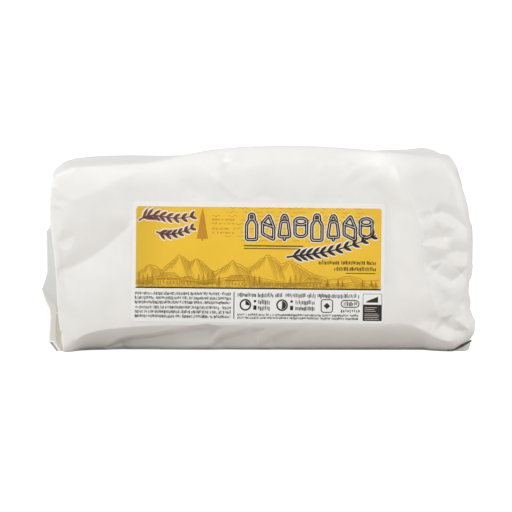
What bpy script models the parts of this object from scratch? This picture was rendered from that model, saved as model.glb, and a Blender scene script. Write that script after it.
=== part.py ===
"""A block of soft washed-rind cheese shut in white waxed paper, with a printed label on its front.

The block stands on one of its long narrow sides. X runs along the block, -Y is the front with
the label, and +Z is up. The origin is at the middle of the underside. Every size below is in
millimetres and is turned into metres once, when a mesh is finished.

The wrapped block is one closed sheet of paper round the cheese, so it is one solid: a box of six
panels whose twelve edges each have their own radius, pushed out to the outline of the real pack
and then folded along named creases. The label is a thin card that follows the front panel.
"""

import math

import bmesh
import bpy
import numpy as np

MM = 0.001

# Driving dimensions
LEFT = -117.5
RIGHT = 121.5
DEPTH = 62.0
HEIGHT = 110.0
FRONT = -29.5
BACK = FRONT + DEPTH
LABEL_LEFT = -71.5
LABEL_RIGHT = 71.8
LABEL_BOTTOM = 17.0
LABEL_TOP = 85.2
LABEL_TURN = math.radians(0.6)
LABEL_CORNER = 2.6
LABEL_THICKNESS = 0.4
LABEL_GAP = 0.35

# The radius of each of the twelve edges, by the two panels that meet there
EDGE_RADII = {
    ("left", "front"): 1.0,
    ("right", "front"): 11.0,
    ("left", "back"): 6.0,
    ("right", "back"): 16.0,
    ("front", "bottom"): 2.0,
    ("back", "bottom"): 8.0,
    ("front", "top"): 1.4,
    ("back", "top"): 9.0,
    ("left", "bottom"): 3.0,
    ("right", "bottom"): 5.0,
    ("left", "top"): 6.5,
    ("right", "top"): 8.0,
}
SIDES = {
    "left": (0, LEFT),
    "right": (0, RIGHT),
    "front": (1, FRONT),
    "back": (1, BACK),
    "bottom": (2, 0.0),
    "top": (2, HEIGHT),
}

# Outlines, as (where, how far): the fold line down the left of the front panel, the right-hand
# end and the left end's flap by height, and the top and the roll under the front by length
LEFT_FOLD = ((0, -112), (26, -114), (42, -114.8), (60, -116.6), (72, -118), (100, -117.6))
RIGHT_END = (
    (0, 117), (7, 121), (13, 122), (24, 120), (33, 120), (50, 121.6), (70, 121.2), (94, 117), (106, 114)
)
FLAP_REACH = ((0, 3), (6, 6), (17, 4.5), (23, 4.8), (35, 8.3), (44, 5.3), (67, 2.8), (71, 0), (110, 0))
TOP_LINE = (
    (-117, 103), (-108, 105), (-95, 106), (-75, 107), (-58, 108.5), (-42, 112), (-25, 115), (-10, 116.4),
    (12, 117), (24, 117), (41, 116.4), (60, 115), (75, 113.6), (86, 112), (97, 111), (108, 110), (112, 109),
)
TOP_BACK_RISE = (
    (-117, 2), (-90, 3), (-60, 1), (-42, -3), (-25, -5.5), (40, -5.5), (62, -4),
    (75, -1.3), (85, 0.5), (96, 2.8), (110, 1.5),
)
ROLL_HEIGHT = (
    (-118, 1), (-110, 3), (-104, 8), (-92, 12), (-73, 14.5), (-20, 16),
    (62, 16), (90, 15), (100, 9.5), (114, 6), (121, 6),
)
ROLL_DEPTH = 15.5
ROLL_CURVE = 1.12
SHOULDER_START = (
    (-118, 84), (-104, 86), (-95, 88), (-85, 91), (-73, 94), (-60, 94), (-45, 93), (-20, 92), (60, 93), (80, 96),
    (90, 99), (115, 99),
)
SHOULDER_DEPTH = (
    (-118, 2.6), (-95, 3.4), (-73, 3.6), (-60, 4.0), (-40, 5.8), (-25, 7.2), (30, 7.5), (60, 6.2), (80, 3.6),
    (110, 3.4),
)
SHOULDER_CURVE = 2.0
# The bevel down the left of the front panel, and the ridge down its right: the ridge's line, how
# much it swells by height, the widths of its two flanks, and the share of its height that is left
# behind it
COLUMN_WIDTH = ((36, 0), (48, 2.5), (62, 5), (74, 8), (88, 7), (97, 4), (104, 1.5), (108, 1))
COLUMN_SLOPE = 0.06
RIDGE_LINE = (
    (0, 107), (8, 105.5), (20, 102), (26.5, 99.6), (46.7, 94.6), (51, 93.5), (65.3, 92.1),
    (75.6, 90.3), (88, 84.6), (104.6, 78.7), (111.5, 75.8), (116, 74),
)
RIDGE_SWELL = (
    (0, 0.35), (12, 0.6), (30, 0.95), (50, 1), (76, 1), (88, 0.84), (97, 0.62), (105, 0.4), (112, 0.25),
    (116, 0.22),
)
RIDGE_HEIGHT = 5.4
RIDGE_WEST = ((0, 20), (50, 20), (66, 19), (76, 17), (85, 13.5), (95, 17), (104, 23), (112, 26))
RIDGE_EAST = ((0, 20), (50, 20), (68, 22), (80, 26), (92, 30), (116, 30))
RIDGE_SHELF = 0.4
RIDGE_FALL = 2.2
LEAN = 0.045
LEAN_START = 34.0
FLAP_RIDGE = 9.0
FLAP_GAP = 2.6
FLAP_GAP_DEPTH = 1.6
CALM_MARGIN = 2.5
CORNER_LIFT = 1.3
CORNER_LIFT_REACH = 16.0
SOFT_CORNER = 15.0
SOFT_CORNER_ROUNDS = 4

# Creases of the front panel: the points along it as (x, z), the height of its middle line over
# the panel, the reach of its flank on the left and on the right of its direction, and the share
# of its length over which it rises from nothing at its start and at its end
FRONT_CREASES = (
    (((-114, 46.5), (-100, 51.2), (-86, 60.3), (-73, 72.5)), -2.0, 22, 16, 0.1, 0.4),
    (((-113.5, 63), (-106, 86), (-88, 93), (-62, 104)), 1.0, 12, 24, 0.2, 0.3),
    (((-114, 62.5), (-103, 66.5)), -0.7, 6, 6, 0.15, 0.5),
    (((-28, 102), (-21, 96.5), (-11, 87.5)), 0.7, 8, 4, 0.3, 0.3),
    (((77, 112.3), (94.3, 106), (109, 108.6)), 0.8, 5, 11, 0.05, 0.1),
    (((99, 79), (110, 78), (121, 69.5)), -1.5, 6, 8, 0.25, 0.0),
    (((100, 78), (112, 69)), 1.0, 6, 5, 0.3, 0.35),
    (((92.5, 62), (98, 65), (111, 66.5)), -0.9, 7, 6, 0.2, 0.3),
    (((106, 57.5), (122.5, 56.4)), -1.3, 7, 12, 0.3, 0.0),
    (((97.5, 49.5), (110, 41), (119, 49)), -1.5, 7, 7, 0.2, 0.2),
    (((96, 47), (108, 37)), 1.0, 6, 6, 0.2, 0.35),
    (((101.5, 20.5), (107.5, 13.5), (119.5, 11)), -2.5, 7, 8, 0.2, 0.1),
)
# Creases of the roll under the front, which run on under the label's lower edge
ROLL_CREASES = (
    (((-88, 1), (-61.6, 6.9), (-33, 12.3), (-20, 14)), -6.0, 4, 10, 0.15, 0.12),
    (((-27, 1.6), (-4.6, 10.6), (5, 13.4)), -3.0, 4, 9, 0.2, 0.25),
)
# Creases of the back panel, seen from behind: the folded seam along it and two slack folds
BACK_CREASES = (
    (((-118, 58), (122, 61)), 1.3, 1.2, 16, 0.0, 0.0),
    (((-110, 96), (-70, 70)), 1.6, 14, 12, 0.3, 0.4),
    (((112, 26), (70, 50)), 1.8, 14, 10, 0.3, 0.4),
    (((20, 20), (60, 8)), -1.2, 9, 10, 0.4, 0.3),
)
# Creases of the right-hand end, as (y, z): two corner tucks at the top, two at the bottom
RIGHT_CREASES = (
    (((-24, 104), (2, 74)), -3.0, 12, 10, 0.1, 0.3),
    (((26, 104), (2, 74)), -2.6, 10, 12, 0.1, 0.3),
    (((-26, 5), (0, 36)), 2.4, 10, 12, 0.2, 0.3),
    (((27, 5), (0, 36)), 2.2, 12, 10, 0.1, 0.3),
    (((0, 36), (3, 74)), 1.8, 14, 14, 0.1, 0.1),
)
LEFT_CREASES = (
    (((-20, 104), (0, 76)), -2.2, 12, 10, 0.1, 0.3),
    (((24, 104), (0, 76)), -2.2, 10, 12, 0.1, 0.3),
    (((-12, 70), (14, 66)), 1.4, 2, 12, 0.1, 0.2),
)

# Steps between the lines that cut the panels, from one end of the block to the other
X_STEPS = ((LEFT, -78, 10), (-78, 78, 24), (78, RIGHT, 14))
Y_STEPS = ((FRONT, -17.5, 5), (-17.5, BACK, 7))
Z_STEPS = ((0, 18, 5), (18, 84, 14), (84, HEIGHT, 6))
LABEL_X_STEPS = (
    (LABEL_LEFT, LABEL_LEFT + LABEL_CORNER, 3),
    (LABEL_LEFT + LABEL_CORNER, LABEL_RIGHT - LABEL_CORNER, 22),
    (LABEL_RIGHT - LABEL_CORNER, LABEL_RIGHT, 3),
)
LABEL_Z_STEPS = (
    (LABEL_BOTTOM, LABEL_BOTTOM + LABEL_CORNER, 3),
    (LABEL_BOTTOM + LABEL_CORNER, LABEL_TOP - LABEL_CORNER, 12),
    (LABEL_TOP - LABEL_CORNER, LABEL_TOP, 3),
)

PAPER_COLOUR = (0.83, 0.82, 0.79, 1.0)
LABEL_COLOUR = (0.76, 0.54, 0.09, 1.0)


def smooth_line(stations, at):
    """Reads a smooth curve through the stations, each a (where, how far), with level ends."""
    where, value = (np.array(part, float) for part in zip(*stations))
    slope = np.gradient(value, where)
    slope[0] = slope[-1] = 0.0
    at = np.clip(at, where[0], where[-1])
    left = np.clip(np.searchsorted(where, at, side="right") - 1, 0, len(where) - 2)
    span = where[left + 1] - where[left]
    t = (at - where[left]) / span
    return (
        (2 * t**3 - 3 * t**2 + 1) * value[left]
        + (t**3 - 2 * t**2 + t) * span * slope[left]
        + (3 * t**2 - 2 * t**3) * value[left + 1]
        + (t**3 - t**2) * span * slope[left + 1]
    )


def nearest_on_path(u, v, path):
    """How far each point is from the path, on its left or right, and how far along it."""
    path = np.array(path, float)
    lengths = np.hypot(*np.diff(path, axis=0).T)
    total = lengths.sum()
    best = np.full(u.shape, np.inf)
    side = np.zeros(u.shape)
    along = np.zeros(u.shape)
    walked = 0.0
    for start, end, length in zip(path, path[1:], lengths):
        way = (end - start) / length
        du, dv = u - start[0], v - start[1]
        t = np.clip(du * way[0] + dv * way[1], 0, length)
        away = np.hypot(du - t * way[0], dv - t * way[1])
        closer = away < best
        best = np.where(closer, away, best)
        side = np.where(closer, way[0] * dv - way[1] * du, side)
        along = np.where(closer, (walked + t) / total, along)
        walked += length
    return best, side > 0, along


def crease_height(u, v, path, height, reach_left, reach_right, rise, fall):
    """The height of one crease: a tent whose flanks run out to nothing at each side and end."""
    away, on_left, along = nearest_on_path(u, v, path)
    swell = np.ones(u.shape)
    if rise:
        swell = np.minimum(swell, along / rise)
    if fall:
        swell = np.minimum(swell, (1 - along) / fall)
    reach = np.where(on_left, reach_left, reach_right) * np.maximum(swell, 1e-6)
    return height * swell * np.clip(1 - away / reach, 0, None)


def creased(u, v, creases):
    return sum(crease_height(u, v, *crease) for crease in creases)


def corner_shifts(from_a, from_b, radius):
    """Rounds a square corner: how far points move inwards from each of its two sides."""
    ring = np.clip(radius - np.minimum(from_a, from_b), 1e-9, None)
    along = np.clip(np.abs(from_a - from_b) / ring, 0, 1)
    turn = math.pi / 4 * (1 - along)
    lengthwise = np.where(along < 1, ring * (1 - np.sin(turn) - along), 0)
    inset = np.where(along < 1, ring * (1 - np.cos(turn)), 0)
    b_is_near = from_b <= from_a
    return np.where(b_is_near, lengthwise, inset), np.where(b_is_near, inset, lengthwise)


def rounded(points):
    """Rounds the box's twelve edges, each by its own radius."""
    moved = points.copy()
    for (first, second), radius in EDGE_RADII.items():
        (a, side_a), (b, side_b) = SIDES[first], SIDES[second]
        inward_a = 1.0 if side_a in (LEFT, FRONT, 0.0) else -1.0
        inward_b = 1.0 if side_b in (LEFT, FRONT, 0.0) else -1.0
        from_a = inward_a * (points[:, a] - side_a)
        from_b = inward_b * (points[:, b] - side_b)
        shift_a, shift_b = corner_shifts(from_a, from_b, radius)
        moved[:, a] += inward_a * shift_a
        moved[:, b] += inward_b * shift_b
    return moved


def front_setback(x, z):
    """How far the front panel lies behind its plane: it leans back, shoulders over and rolls under."""
    lean = LEAN * np.clip(z - LEAN_START, 0, None)
    start = smooth_line(SHOULDER_START, x)
    shoulder = np.clip((z - start) / (HEIGHT - start), 0, 1) ** SHOULDER_CURVE
    roll_height = smooth_line(ROLL_HEIGHT, x)
    under = np.clip((roll_height - z) / roll_height, 0, 1) ** ROLL_CURVE
    roll = ROLL_DEPTH * np.clip(roll_height / 12, 0, 1) * under
    bevel = COLUMN_SLOPE * np.clip(smooth_line(COLUMN_WIDTH, z) - (x - LEFT), 0, None) ** 1.5
    return lean + shoulder * smooth_line(SHOULDER_DEPTH, x) + roll + bevel


def ridge_height(x, z):
    """A long soft rise that ends in a sharp line, with a falling flank behind it."""
    swell = smooth_line(RIDGE_SWELL, z)
    past = x - smooth_line(RIDGE_LINE, z)
    west = np.clip(1 + past / smooth_line(RIDGE_WEST, z), 0, 1)
    east = RIDGE_SHELF + (1 - RIDGE_SHELF) * np.clip(1 - past / smooth_line(RIDGE_EAST, z), 0, 1) ** RIDGE_FALL
    return RIDGE_HEIGHT * swell * np.where(past > 0, east, west * west * (3 - 2 * west))


def outside_label(x, z):
    """0 under the label, where the paper is held flat, rising to 1 a little way outside it."""
    out_x = np.maximum(LABEL_LEFT - x, x - LABEL_RIGHT)
    out_z = np.maximum(LABEL_BOTTOM - z, z - LABEL_TOP)
    return np.clip(np.maximum(out_x, out_z) / CALM_MARGIN, 0, 1)


def left_end_reach(y, z):
    """How far the folded flaps of the left end stand out past the front panel's fold line."""
    behind = y - FRONT
    flap = smooth_line(FLAP_REACH, z)
    gap = FLAP_GAP_DEPTH * np.clip((74 - z) / 10, 0.25, 1)
    rise = np.clip((behind - FLAP_GAP) / (FLAP_RIDGE - FLAP_GAP), 0, 1)
    fade = np.clip(1 - (behind - FLAP_RIDGE) / (DEPTH - FLAP_RIDGE), 0, 1) ** 0.5
    opening = np.clip(behind / FLAP_GAP, 0, 1) * (1 - rise)
    return flap * rise * fade - gap * opening


def wrapped(points):
    """Turns points on the plain box into points on the wrapped block."""
    x, y, z = points.T
    shaped = rounded(points)
    depth_share = (BACK - y) / DEPTH
    near_front = np.clip(1 - (y - FRONT) / 7, 0, 1)
    near_back = np.clip(1 - (BACK - y) / 7, 0, 1)
    near_left = np.clip(1 - (x - LEFT) / 24, 0, 1)
    near_right = np.clip(1 - (RIGHT - x) / 30, 0, 1)
    on_left = np.clip(1 - (x - LEFT) / 4, 0, 1)
    on_right = np.clip(1 - (RIGHT - x) / 8, 0, 1)
    upper = np.clip((z - LABEL_TOP) / (HEIGHT - LABEL_TOP), 0, 1)

    shaped[:, 0] += near_left * (smooth_line(LEFT_FOLD, z) - LEFT)
    shaped[:, 0] += near_right * (smooth_line(RIGHT_END, z) - RIGHT)
    shaped[:, 0] -= on_left * (left_end_reach(y, z) + creased(y, z, LEFT_CREASES) * near_middle(y))
    shaped[:, 0] += on_right * creased(y, z, RIGHT_CREASES) * near_middle(y)
    shaped[:, 1] += depth_share * front_setback(x, z)
    back_rise = smooth_line(TOP_BACK_RISE, x) * (1 - depth_share)
    shaped[:, 2] += upper * (smooth_line(TOP_LINE, x) - HEIGHT + back_rise)
    seen_x, seen_z = shaped[:, 0].copy(), shaped[:, 2].copy()
    shaped[:, 1] -= near_front * ridge_height(seen_x, seen_z)
    shaped[:, 1] -= near_front * outside_label(x, z) * creased(seen_x, seen_z, FRONT_CREASES)
    shaped[:, 1] -= near_front * creased(seen_x, seen_z, ROLL_CREASES)
    shaped[:, 1] += near_back * creased(x, z, BACK_CREASES)
    from_front_corner = np.hypot(np.minimum(x - LEFT, RIGHT - x), y - FRONT)
    low = np.clip(1 - z / CORNER_LIFT_REACH, 0, 1)
    lift = CORNER_LIFT * low * np.clip(1 - from_front_corner / CORNER_LIFT_REACH, 0, 1)
    shaped[:, 2] = np.where(z == 0, 0, np.maximum(shaped[:, 2], 0)) + lift
    return shaped


def near_middle(y):
    """1 over the middle of an end, falling to 0 at its front and back edges."""
    return np.clip(2.2 * (1 - np.abs(2 * (y - FRONT) / DEPTH - 1)), 0, 1)


def stops(steps):
    """The places of the cutting lines: each stretch is (from, to, how many steps)."""
    places = [steps[0][0]]
    for start, end, count in steps:
        places += list(np.linspace(start, end, count + 1)[1:])
    return np.array(places)


def soften_corners(mesh, box, lines, rounds):
    """Relaxes the points round the box's eight corners, where three rounded edges run together."""
    ends = np.array([[line[0], line[-1]] for line in lines])
    from_corner = np.linalg.norm(np.abs(box[:, :, None] - ends).min(axis=2), axis=1)
    for _ in range(rounds):
        for floor in (False, True):
            near = (from_corner < SOFT_CORNER) & ((box[:, 2] == lines[2][0]) == floor)
            mesh.verts.ensure_lookup_table()
            bmesh.ops.smooth_vert(
                mesh,
                verts=[mesh.verts[i] for i in np.flatnonzero(near)],
                factor=0.5,
                use_axis_x=True,
                use_axis_y=True,
                use_axis_z=not floor,
            )


def panel_box(name, lines, shape, corner_rounds):
    """A closed mesh of six grids, cut along the given lines of x, y and z, then shaped."""
    counts = [len(line) - 1 for line in lines]
    mesh = bmesh.new()
    for axis in range(3):
        across, up = (axis + 1) % 3, (axis + 2) % 3
        for side in (0, counts[axis]):
            grid = bmesh.ops.create_grid(mesh, x_segments=counts[across], y_segments=counts[up], size=0.5)
            for vert in grid["verts"]:
                step = [0, 0, 0]
                step[axis] = side
                step[across] = round((vert.co.x + 0.5) * counts[across])
                step[up] = round((vert.co.y + 0.5) * counts[up])
                vert.co = step
    bmesh.ops.remove_doubles(mesh, verts=mesh.verts, dist=0.1)
    steps = np.array([vert.co for vert in mesh.verts]).round().astype(int)
    box = np.stack([lines[axis][steps[:, axis]] for axis in range(3)], axis=1)
    for vert, place in zip(mesh.verts, shape(box)):
        vert.co = place * MM
    soften_corners(mesh, box, lines, corner_rounds)
    bmesh.ops.recalc_face_normals(mesh, faces=mesh.faces)
    bmesh.ops.triangulate(mesh, faces=mesh.faces, quad_method="SHORT_EDGE")
    data = bpy.data.meshes.new(name)
    mesh.to_mesh(data)
    mesh.free()
    data.shade_smooth()
    data.set_sharp_from_angle(angle=math.radians(35))
    return bpy.data.objects.new(name, data)


def label_shape(box):
    """Lays the label's two faces on the front panel: steps 0 and 1 of y are its face and its back."""
    x, face, z = box.T
    middle_x, middle_z = (LABEL_LEFT + LABEL_RIGHT) / 2, (LABEL_BOTTOM + LABEL_TOP) / 2
    half_x, half_z = (LABEL_RIGHT - LABEL_LEFT) / 2, (LABEL_TOP - LABEL_BOTTOM) / 2
    from_side = half_x - np.abs(x - middle_x)
    from_edge = half_z - np.abs(z - middle_z)
    shift_x, shift_z = corner_shifts(from_side, from_edge, LABEL_CORNER)
    x = x - np.sign(x - middle_x) * shift_x
    z = z - np.sign(z - middle_z) * shift_z
    turned_x = middle_x + (x - middle_x) * math.cos(LABEL_TURN) + (z - middle_z) * math.sin(LABEL_TURN)
    turned_z = middle_z + (z - middle_z) * math.cos(LABEL_TURN) - (x - middle_x) * math.sin(LABEL_TURN)
    surface = wrapped(np.stack([turned_x, np.full(x.shape, FRONT), turned_z], axis=1))
    surface[:, 1] -= LABEL_GAP + LABEL_THICKNESS * (1 - face)
    return surface


def paint(target, name, colour, roughness):
    """Gives an object its own plain material."""
    material = bpy.data.materials.new(name)
    material.use_nodes = True
    shader = material.node_tree.nodes["Principled BSDF"]
    shader.inputs["Base Color"].default_value = colour
    shader.inputs["Roughness"].default_value = roughness
    shader.inputs["Metallic"].default_value = 0.0
    material.diffuse_color = colour
    target.data.materials.append(material)


def main():
    for old in list(bpy.data.objects):
        bpy.data.objects.remove(old, do_unlink=True)
    pack = bpy.data.collections.new("wrapped_cheese_block")
    bpy.context.scene.collection.children.link(pack)

    block_lines = [stops(X_STEPS), stops(Y_STEPS), stops(Z_STEPS)]
    block = panel_box("wrapped_cheese", block_lines, wrapped, SOFT_CORNER_ROUNDS)
    paint(block, "waxed_paper", PAPER_COLOUR, 0.45)

    label_lines = [stops(LABEL_X_STEPS), np.array([0.0, 1.0]), stops(LABEL_Z_STEPS)]
    label = panel_box("label", label_lines, label_shape, 0)
    paint(label, "label_print", LABEL_COLOUR, 0.35)

    for piece in (block, label):
        pack.objects.link(piece)


main()
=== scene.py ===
# %% [markdown]
# # A block of soft cheese, shut in white waxed paper
# The real thing is a long block of soft washed-rind cheese. It is wrapped like a parcel in stiff
# white waxed paper, the ends are folded in, and a printed label is glued to the front. Nothing of
# the cheese shows, so all the looks are in the paper's folds, its satin white, and the label.
#
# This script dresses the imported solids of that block. The solids give the place and the size of
# every part, and the pieces made here stand in for them with finer paper and a printed label.

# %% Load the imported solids
import math

import bmesh
import bpy
import numpy as np
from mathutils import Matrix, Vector


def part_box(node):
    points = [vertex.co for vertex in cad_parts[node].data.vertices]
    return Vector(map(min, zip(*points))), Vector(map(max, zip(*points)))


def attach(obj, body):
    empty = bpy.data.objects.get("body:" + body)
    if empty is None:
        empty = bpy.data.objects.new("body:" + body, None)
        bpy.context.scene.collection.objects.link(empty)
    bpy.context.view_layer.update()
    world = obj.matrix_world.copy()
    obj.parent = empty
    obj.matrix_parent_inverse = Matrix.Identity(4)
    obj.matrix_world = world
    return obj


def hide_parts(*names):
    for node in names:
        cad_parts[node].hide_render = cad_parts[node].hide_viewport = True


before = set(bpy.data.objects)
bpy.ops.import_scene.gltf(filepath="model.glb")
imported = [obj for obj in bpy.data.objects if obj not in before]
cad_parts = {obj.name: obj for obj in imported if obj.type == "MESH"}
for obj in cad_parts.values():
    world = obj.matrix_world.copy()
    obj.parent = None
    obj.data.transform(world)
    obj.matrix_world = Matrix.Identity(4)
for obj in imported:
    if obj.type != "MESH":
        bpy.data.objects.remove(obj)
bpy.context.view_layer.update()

for solid in sorted(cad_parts):
    low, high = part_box(solid)
    print(solid, "spans", [round(1000 * (b - a), 1) for a, b in zip(low, high)], "mm")

# %% [markdown]
# ## The plan of the block
# X runs along the block, -Y is the labelled front, and +Z is up. All sizes below are in
# millimetres, and they are turned into metres once, when a mesh is finished. The outline of a soft
# pack can't be one number for each side, so each outline is a smooth line through a few stations,
# read off a real pack: where the fold stands, and how far the paper reaches there.

# %% Sizes of the block
MM = 0.001
LEFT, RIGHT = -117.5, 121.5
DEPTH, HEIGHT = 62.0, 110.0
FRONT, BACK = -29.5, DEPTH - 29.5
LABEL_LEFT, LABEL_RIGHT = -71.5, 71.8
LABEL_BOTTOM, LABEL_TOP = 17.0, 85.2
LABEL_TURN = math.radians(0.6)
LABEL_CORNER = 2.6

LEFT_FOLD = ((0, -112), (26, -114), (42, -114.8), (60, -116.6), (72, -118), (100, -117.6))
RIGHT_END = (
    (0, 117), (7, 121), (13, 122), (24, 120), (33, 120),
    (50, 121.6), (70, 121.2), (94, 117), (106, 114),
)
FLAP_REACH = ((0, 2), (6, 4.6), (17, 3.6), (23, 3.8), (35, 6.8), (44, 4.3), (67, 1.8), (71, 0), (110, 0))
TOP_LINE = (
    (-117, 103), (-108, 105), (-95, 106), (-75, 107), (-58, 108.5), (-42, 112), (-25, 115),
    (-10, 116.4), (12, 117), (24, 117), (41, 116.4), (60, 115), (75, 113.6), (86, 112), (97, 111),
    (108, 110), (112, 109),
)
TOP_BACK_RISE = (
    (-117, 2), (-90, 3), (-60, 1), (-42, -3), (-25, -5.5), (40, -5.5), (62, -4),
    (75, -1.3), (85, 0.5), (96, 2.8), (110, 1.5),
)
ROLL_HEIGHT = (
    (-118, 1), (-110, 3), (-104, 8), (-92, 12), (-73, 14.5), (-20, 16),
    (62, 16), (90, 15), (100, 9.5), (114, 6), (121, 6),
)
ROLL_DEPTH, FULL_ROLL_HEIGHT = 15.5, 12.0
ROLL_CURVE = ((-40, 1.12), (10, 1.22), (70, 1.4), (110, 1.4))
ROLL_EASE, ROLL_EASE_HEIGHT = 0.6, 10.0
COLUMN_WIDTH = ((36, 0), (48, 2.5), (62, 5), (74, 8), (88, 7), (97, 4), (104, 1.5), (108, 1))
COLUMN_SLOPE = 0.06
SHOULDER_START = (
    (-118, 84), (-104, 86), (-95, 88), (-85, 91), (-73, 94), (-60, 94), (-45, 93), (-20, 92),
    (60, 93), (80, 96), (90, 99), (115, 99),
)
SHOULDER_DEPTH = (
    (-118, 2.6), (-95, 3.4), (-73, 3.6), (-60, 4.0), (-40, 5.8), (-25, 7.2), (30, 7.5), (60, 6.2),
    (80, 3.6), (110, 3.4),
)
SHOULDER_CURVE = 2.0
LEAN, LEAN_START = 0.045, 34.0
FLAP_RIDGE, FLAP_GAP, FLAP_GAP_DEPTH = 13.0, 7.0, 1.6
FLAP_TOP, FLAP_TOP_FADE = 74.0, 10.0

EDGE_RADII = {
    ("left", "front"): 1.0, ("right", "front"): 11.0, ("left", "back"): 6.0, ("right", "back"): 16.0,
    ("front", "bottom"): 2.0, ("back", "bottom"): 8.0, ("front", "top"): 1.4, ("back", "top"): 9.0,
    ("left", "bottom"): 3.0, ("right", "bottom"): 5.0, ("left", "top"): 6.5, ("right", "top"): 8.0,
}
SIDES = {
    "left": (0, LEFT, 1), "right": (0, RIGHT, -1), "front": (1, FRONT, 1),
    "back": (1, BACK, -1), "bottom": (2, 0.0, 1), "top": (2, HEIGHT, -1),
}
print("block", RIGHT - LEFT, "by", DEPTH, "by", HEIGHT, "mm before it is folded")

# %% [markdown]
# ## Reading a smooth line
# Straight runs between stations would show as kinks in the paper. A cubic curve through them, with
# the slope at each station taken from its neighbours, has none, and it never needs a handle.


# %% A smooth line through stations


def smooth_line(stations, at):
    """Reads a smooth curve through the stations, each a (where, how far), with level ends."""
    where, value = (np.array(part, float) for part in zip(*stations))
    slope = np.gradient(value, where)
    slope[0] = slope[-1] = 0.0
    at = np.clip(at, where[0], where[-1])
    left = np.clip(np.searchsorted(where, at, side="right") - 1, 0, len(where) - 2)
    span = where[left + 1] - where[left]
    t = (at - where[left]) / span
    return (
        (2 * t**3 - 3 * t**2 + 1) * value[left]
        + (t**3 - 2 * t**2 + t) * span * slope[left]
        + (3 * t**2 - 2 * t**3) * value[left + 1]
        + (t**3 - t**2) * span * slope[left + 1]
    )


def curved(stations, points=14):
    """A smooth path through stations that run from left to right."""
    across = np.linspace(stations[0][0], stations[-1][0], points)
    return list(zip(across, smooth_line(stations, across)))


def eased(share):
    """A share from 0 to 1 that starts and ends softly."""
    return share * share * (3 - 2 * share)


def near(distance, reach):
    """1 at no distance, falling to 0 at that reach."""
    return np.clip(1 - distance / reach, 0, 1)


print("the top stands", float(smooth_line(TOP_LINE, 0.0)), "mm high over the middle")

# %% [markdown]
# ## What a fold in paper is
# Paper doesn't stretch, so it takes up slack in creases: a sharp line with a nearly flat facet on
# each side, which dies away towards the crease's ends. A noise texture would give a lumpy skin
# instead. So each fold is a small tent over a path, with its own height and its own reach on the
# two sides. A negative height makes a valley. Its line is rounded, a wide fold's more than a narrow
# one's, as stiff waxed paper is, and a wide flank runs out more softly at its foot.

# %% One fold, and many
CREASE_ROUNDING = 0.035
FLANK_SOFTNESS = 20.0


def nearest_on_path(u, v, path):
    """How far each point is from the path, on its left or right, and how far along it."""
    path = np.array(path, float)
    lengths = np.hypot(*np.diff(path, axis=0).T)
    total = lengths.sum()
    best = np.full(u.shape, np.inf)
    side = np.zeros(u.shape)
    along = np.zeros(u.shape)
    walked = 0.0
    for start, end, length in zip(path, path[1:], lengths):
        way = (end - start) / length
        du, dv = u - start[0], v - start[1]
        t = np.clip(du * way[0] + dv * way[1], 0, length)
        away = np.hypot(du - t * way[0], dv - t * way[1])
        closer = away < best
        best = np.where(closer, away, best)
        side = np.where(closer, way[0] * dv - way[1] * du, side)
        along = np.where(closer, (walked + t) / total, along)
        walked += length
    return best, side > 0, along


def crease_height(u, v, path, height, reach_left, reach_right, rise, fall):
    """The height of one crease. Left and right are as one walks along its path."""
    away, on_left, along = nearest_on_path(u, v, path)
    swell = np.ones(u.shape)
    if rise:
        swell = np.minimum(swell, along / rise)
    if fall:
        swell = np.minimum(swell, (1 - along) / fall)
    full_reach = np.where(on_left, reach_left, reach_right)
    reach = full_reach * np.maximum(swell, 1e-6)
    rounding = CREASE_ROUNDING * reach
    share = 1 - (np.sqrt(away**2 + rounding**2) - rounding) / reach
    return height * swell * np.clip(share, 0, None) ** (1 + full_reach / FLANK_SOFTNESS)


def creased(u, v, creases):
    """The height of many creases together."""
    return sum(crease_height(u, v, *crease) for crease in creases)


# %% [markdown]
# ## The folds of this pack
# The list is what a wrapper's hands left in the paper, from left to right. Each entry is the path
# as (x, z), the height, the reach on the left and on the right of the path, and the share of its
# length over which it grows at its start and dies at its end. On the left the paper is drawn
# smooth, with one deep valley. On the right it bulges over a ridge and crumples behind it.

# %% The ridge
RIDGE_LINE = (
    (0, 107), (8, 105.5), (20, 102), (26.5, 99.6), (46.7, 94.6), (51, 93.5), (65.3, 92.1),
    (75.6, 90.3), (88, 84.6), (104.6, 78.7), (111.5, 75.8), (116, 74),
)
RIDGE_SWELL = (
    (0, 0.35), (12, 0.6), (30, 0.95), (50, 1), (76, 1), (88, 0.84), (97, 0.62), (105, 0.4),
    (112, 0.25), (116, 0.22),
)
RIDGE_WEST = ((0, 20), (50, 20), (66, 19), (76, 17), (85, 13.5), (95, 17), (104, 23), (112, 26))
RIDGE_EAST = ((0, 17), (50, 16.5), (68, 18), (80, 23), (92, 30), (116, 30))
RIDGE_HEIGHT, RIDGE_SHELF, RIDGE_FALL = 5.6, 0.4, 2.8


def ridge_height(x, z):
    """A long soft rise that ends in a sharp line, with a falling flank and a low shelf behind it."""
    past = x - smooth_line(RIDGE_LINE, z)
    west = near(-past, smooth_line(RIDGE_WEST, z))
    fall = near(past, smooth_line(RIDGE_EAST, z)) ** RIDGE_FALL
    east = RIDGE_SHELF + (1 - RIDGE_SHELF) * fall
    return RIDGE_HEIGHT * smooth_line(RIDGE_SWELL, z) * np.where(past > 0, east, eased(west))


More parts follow.
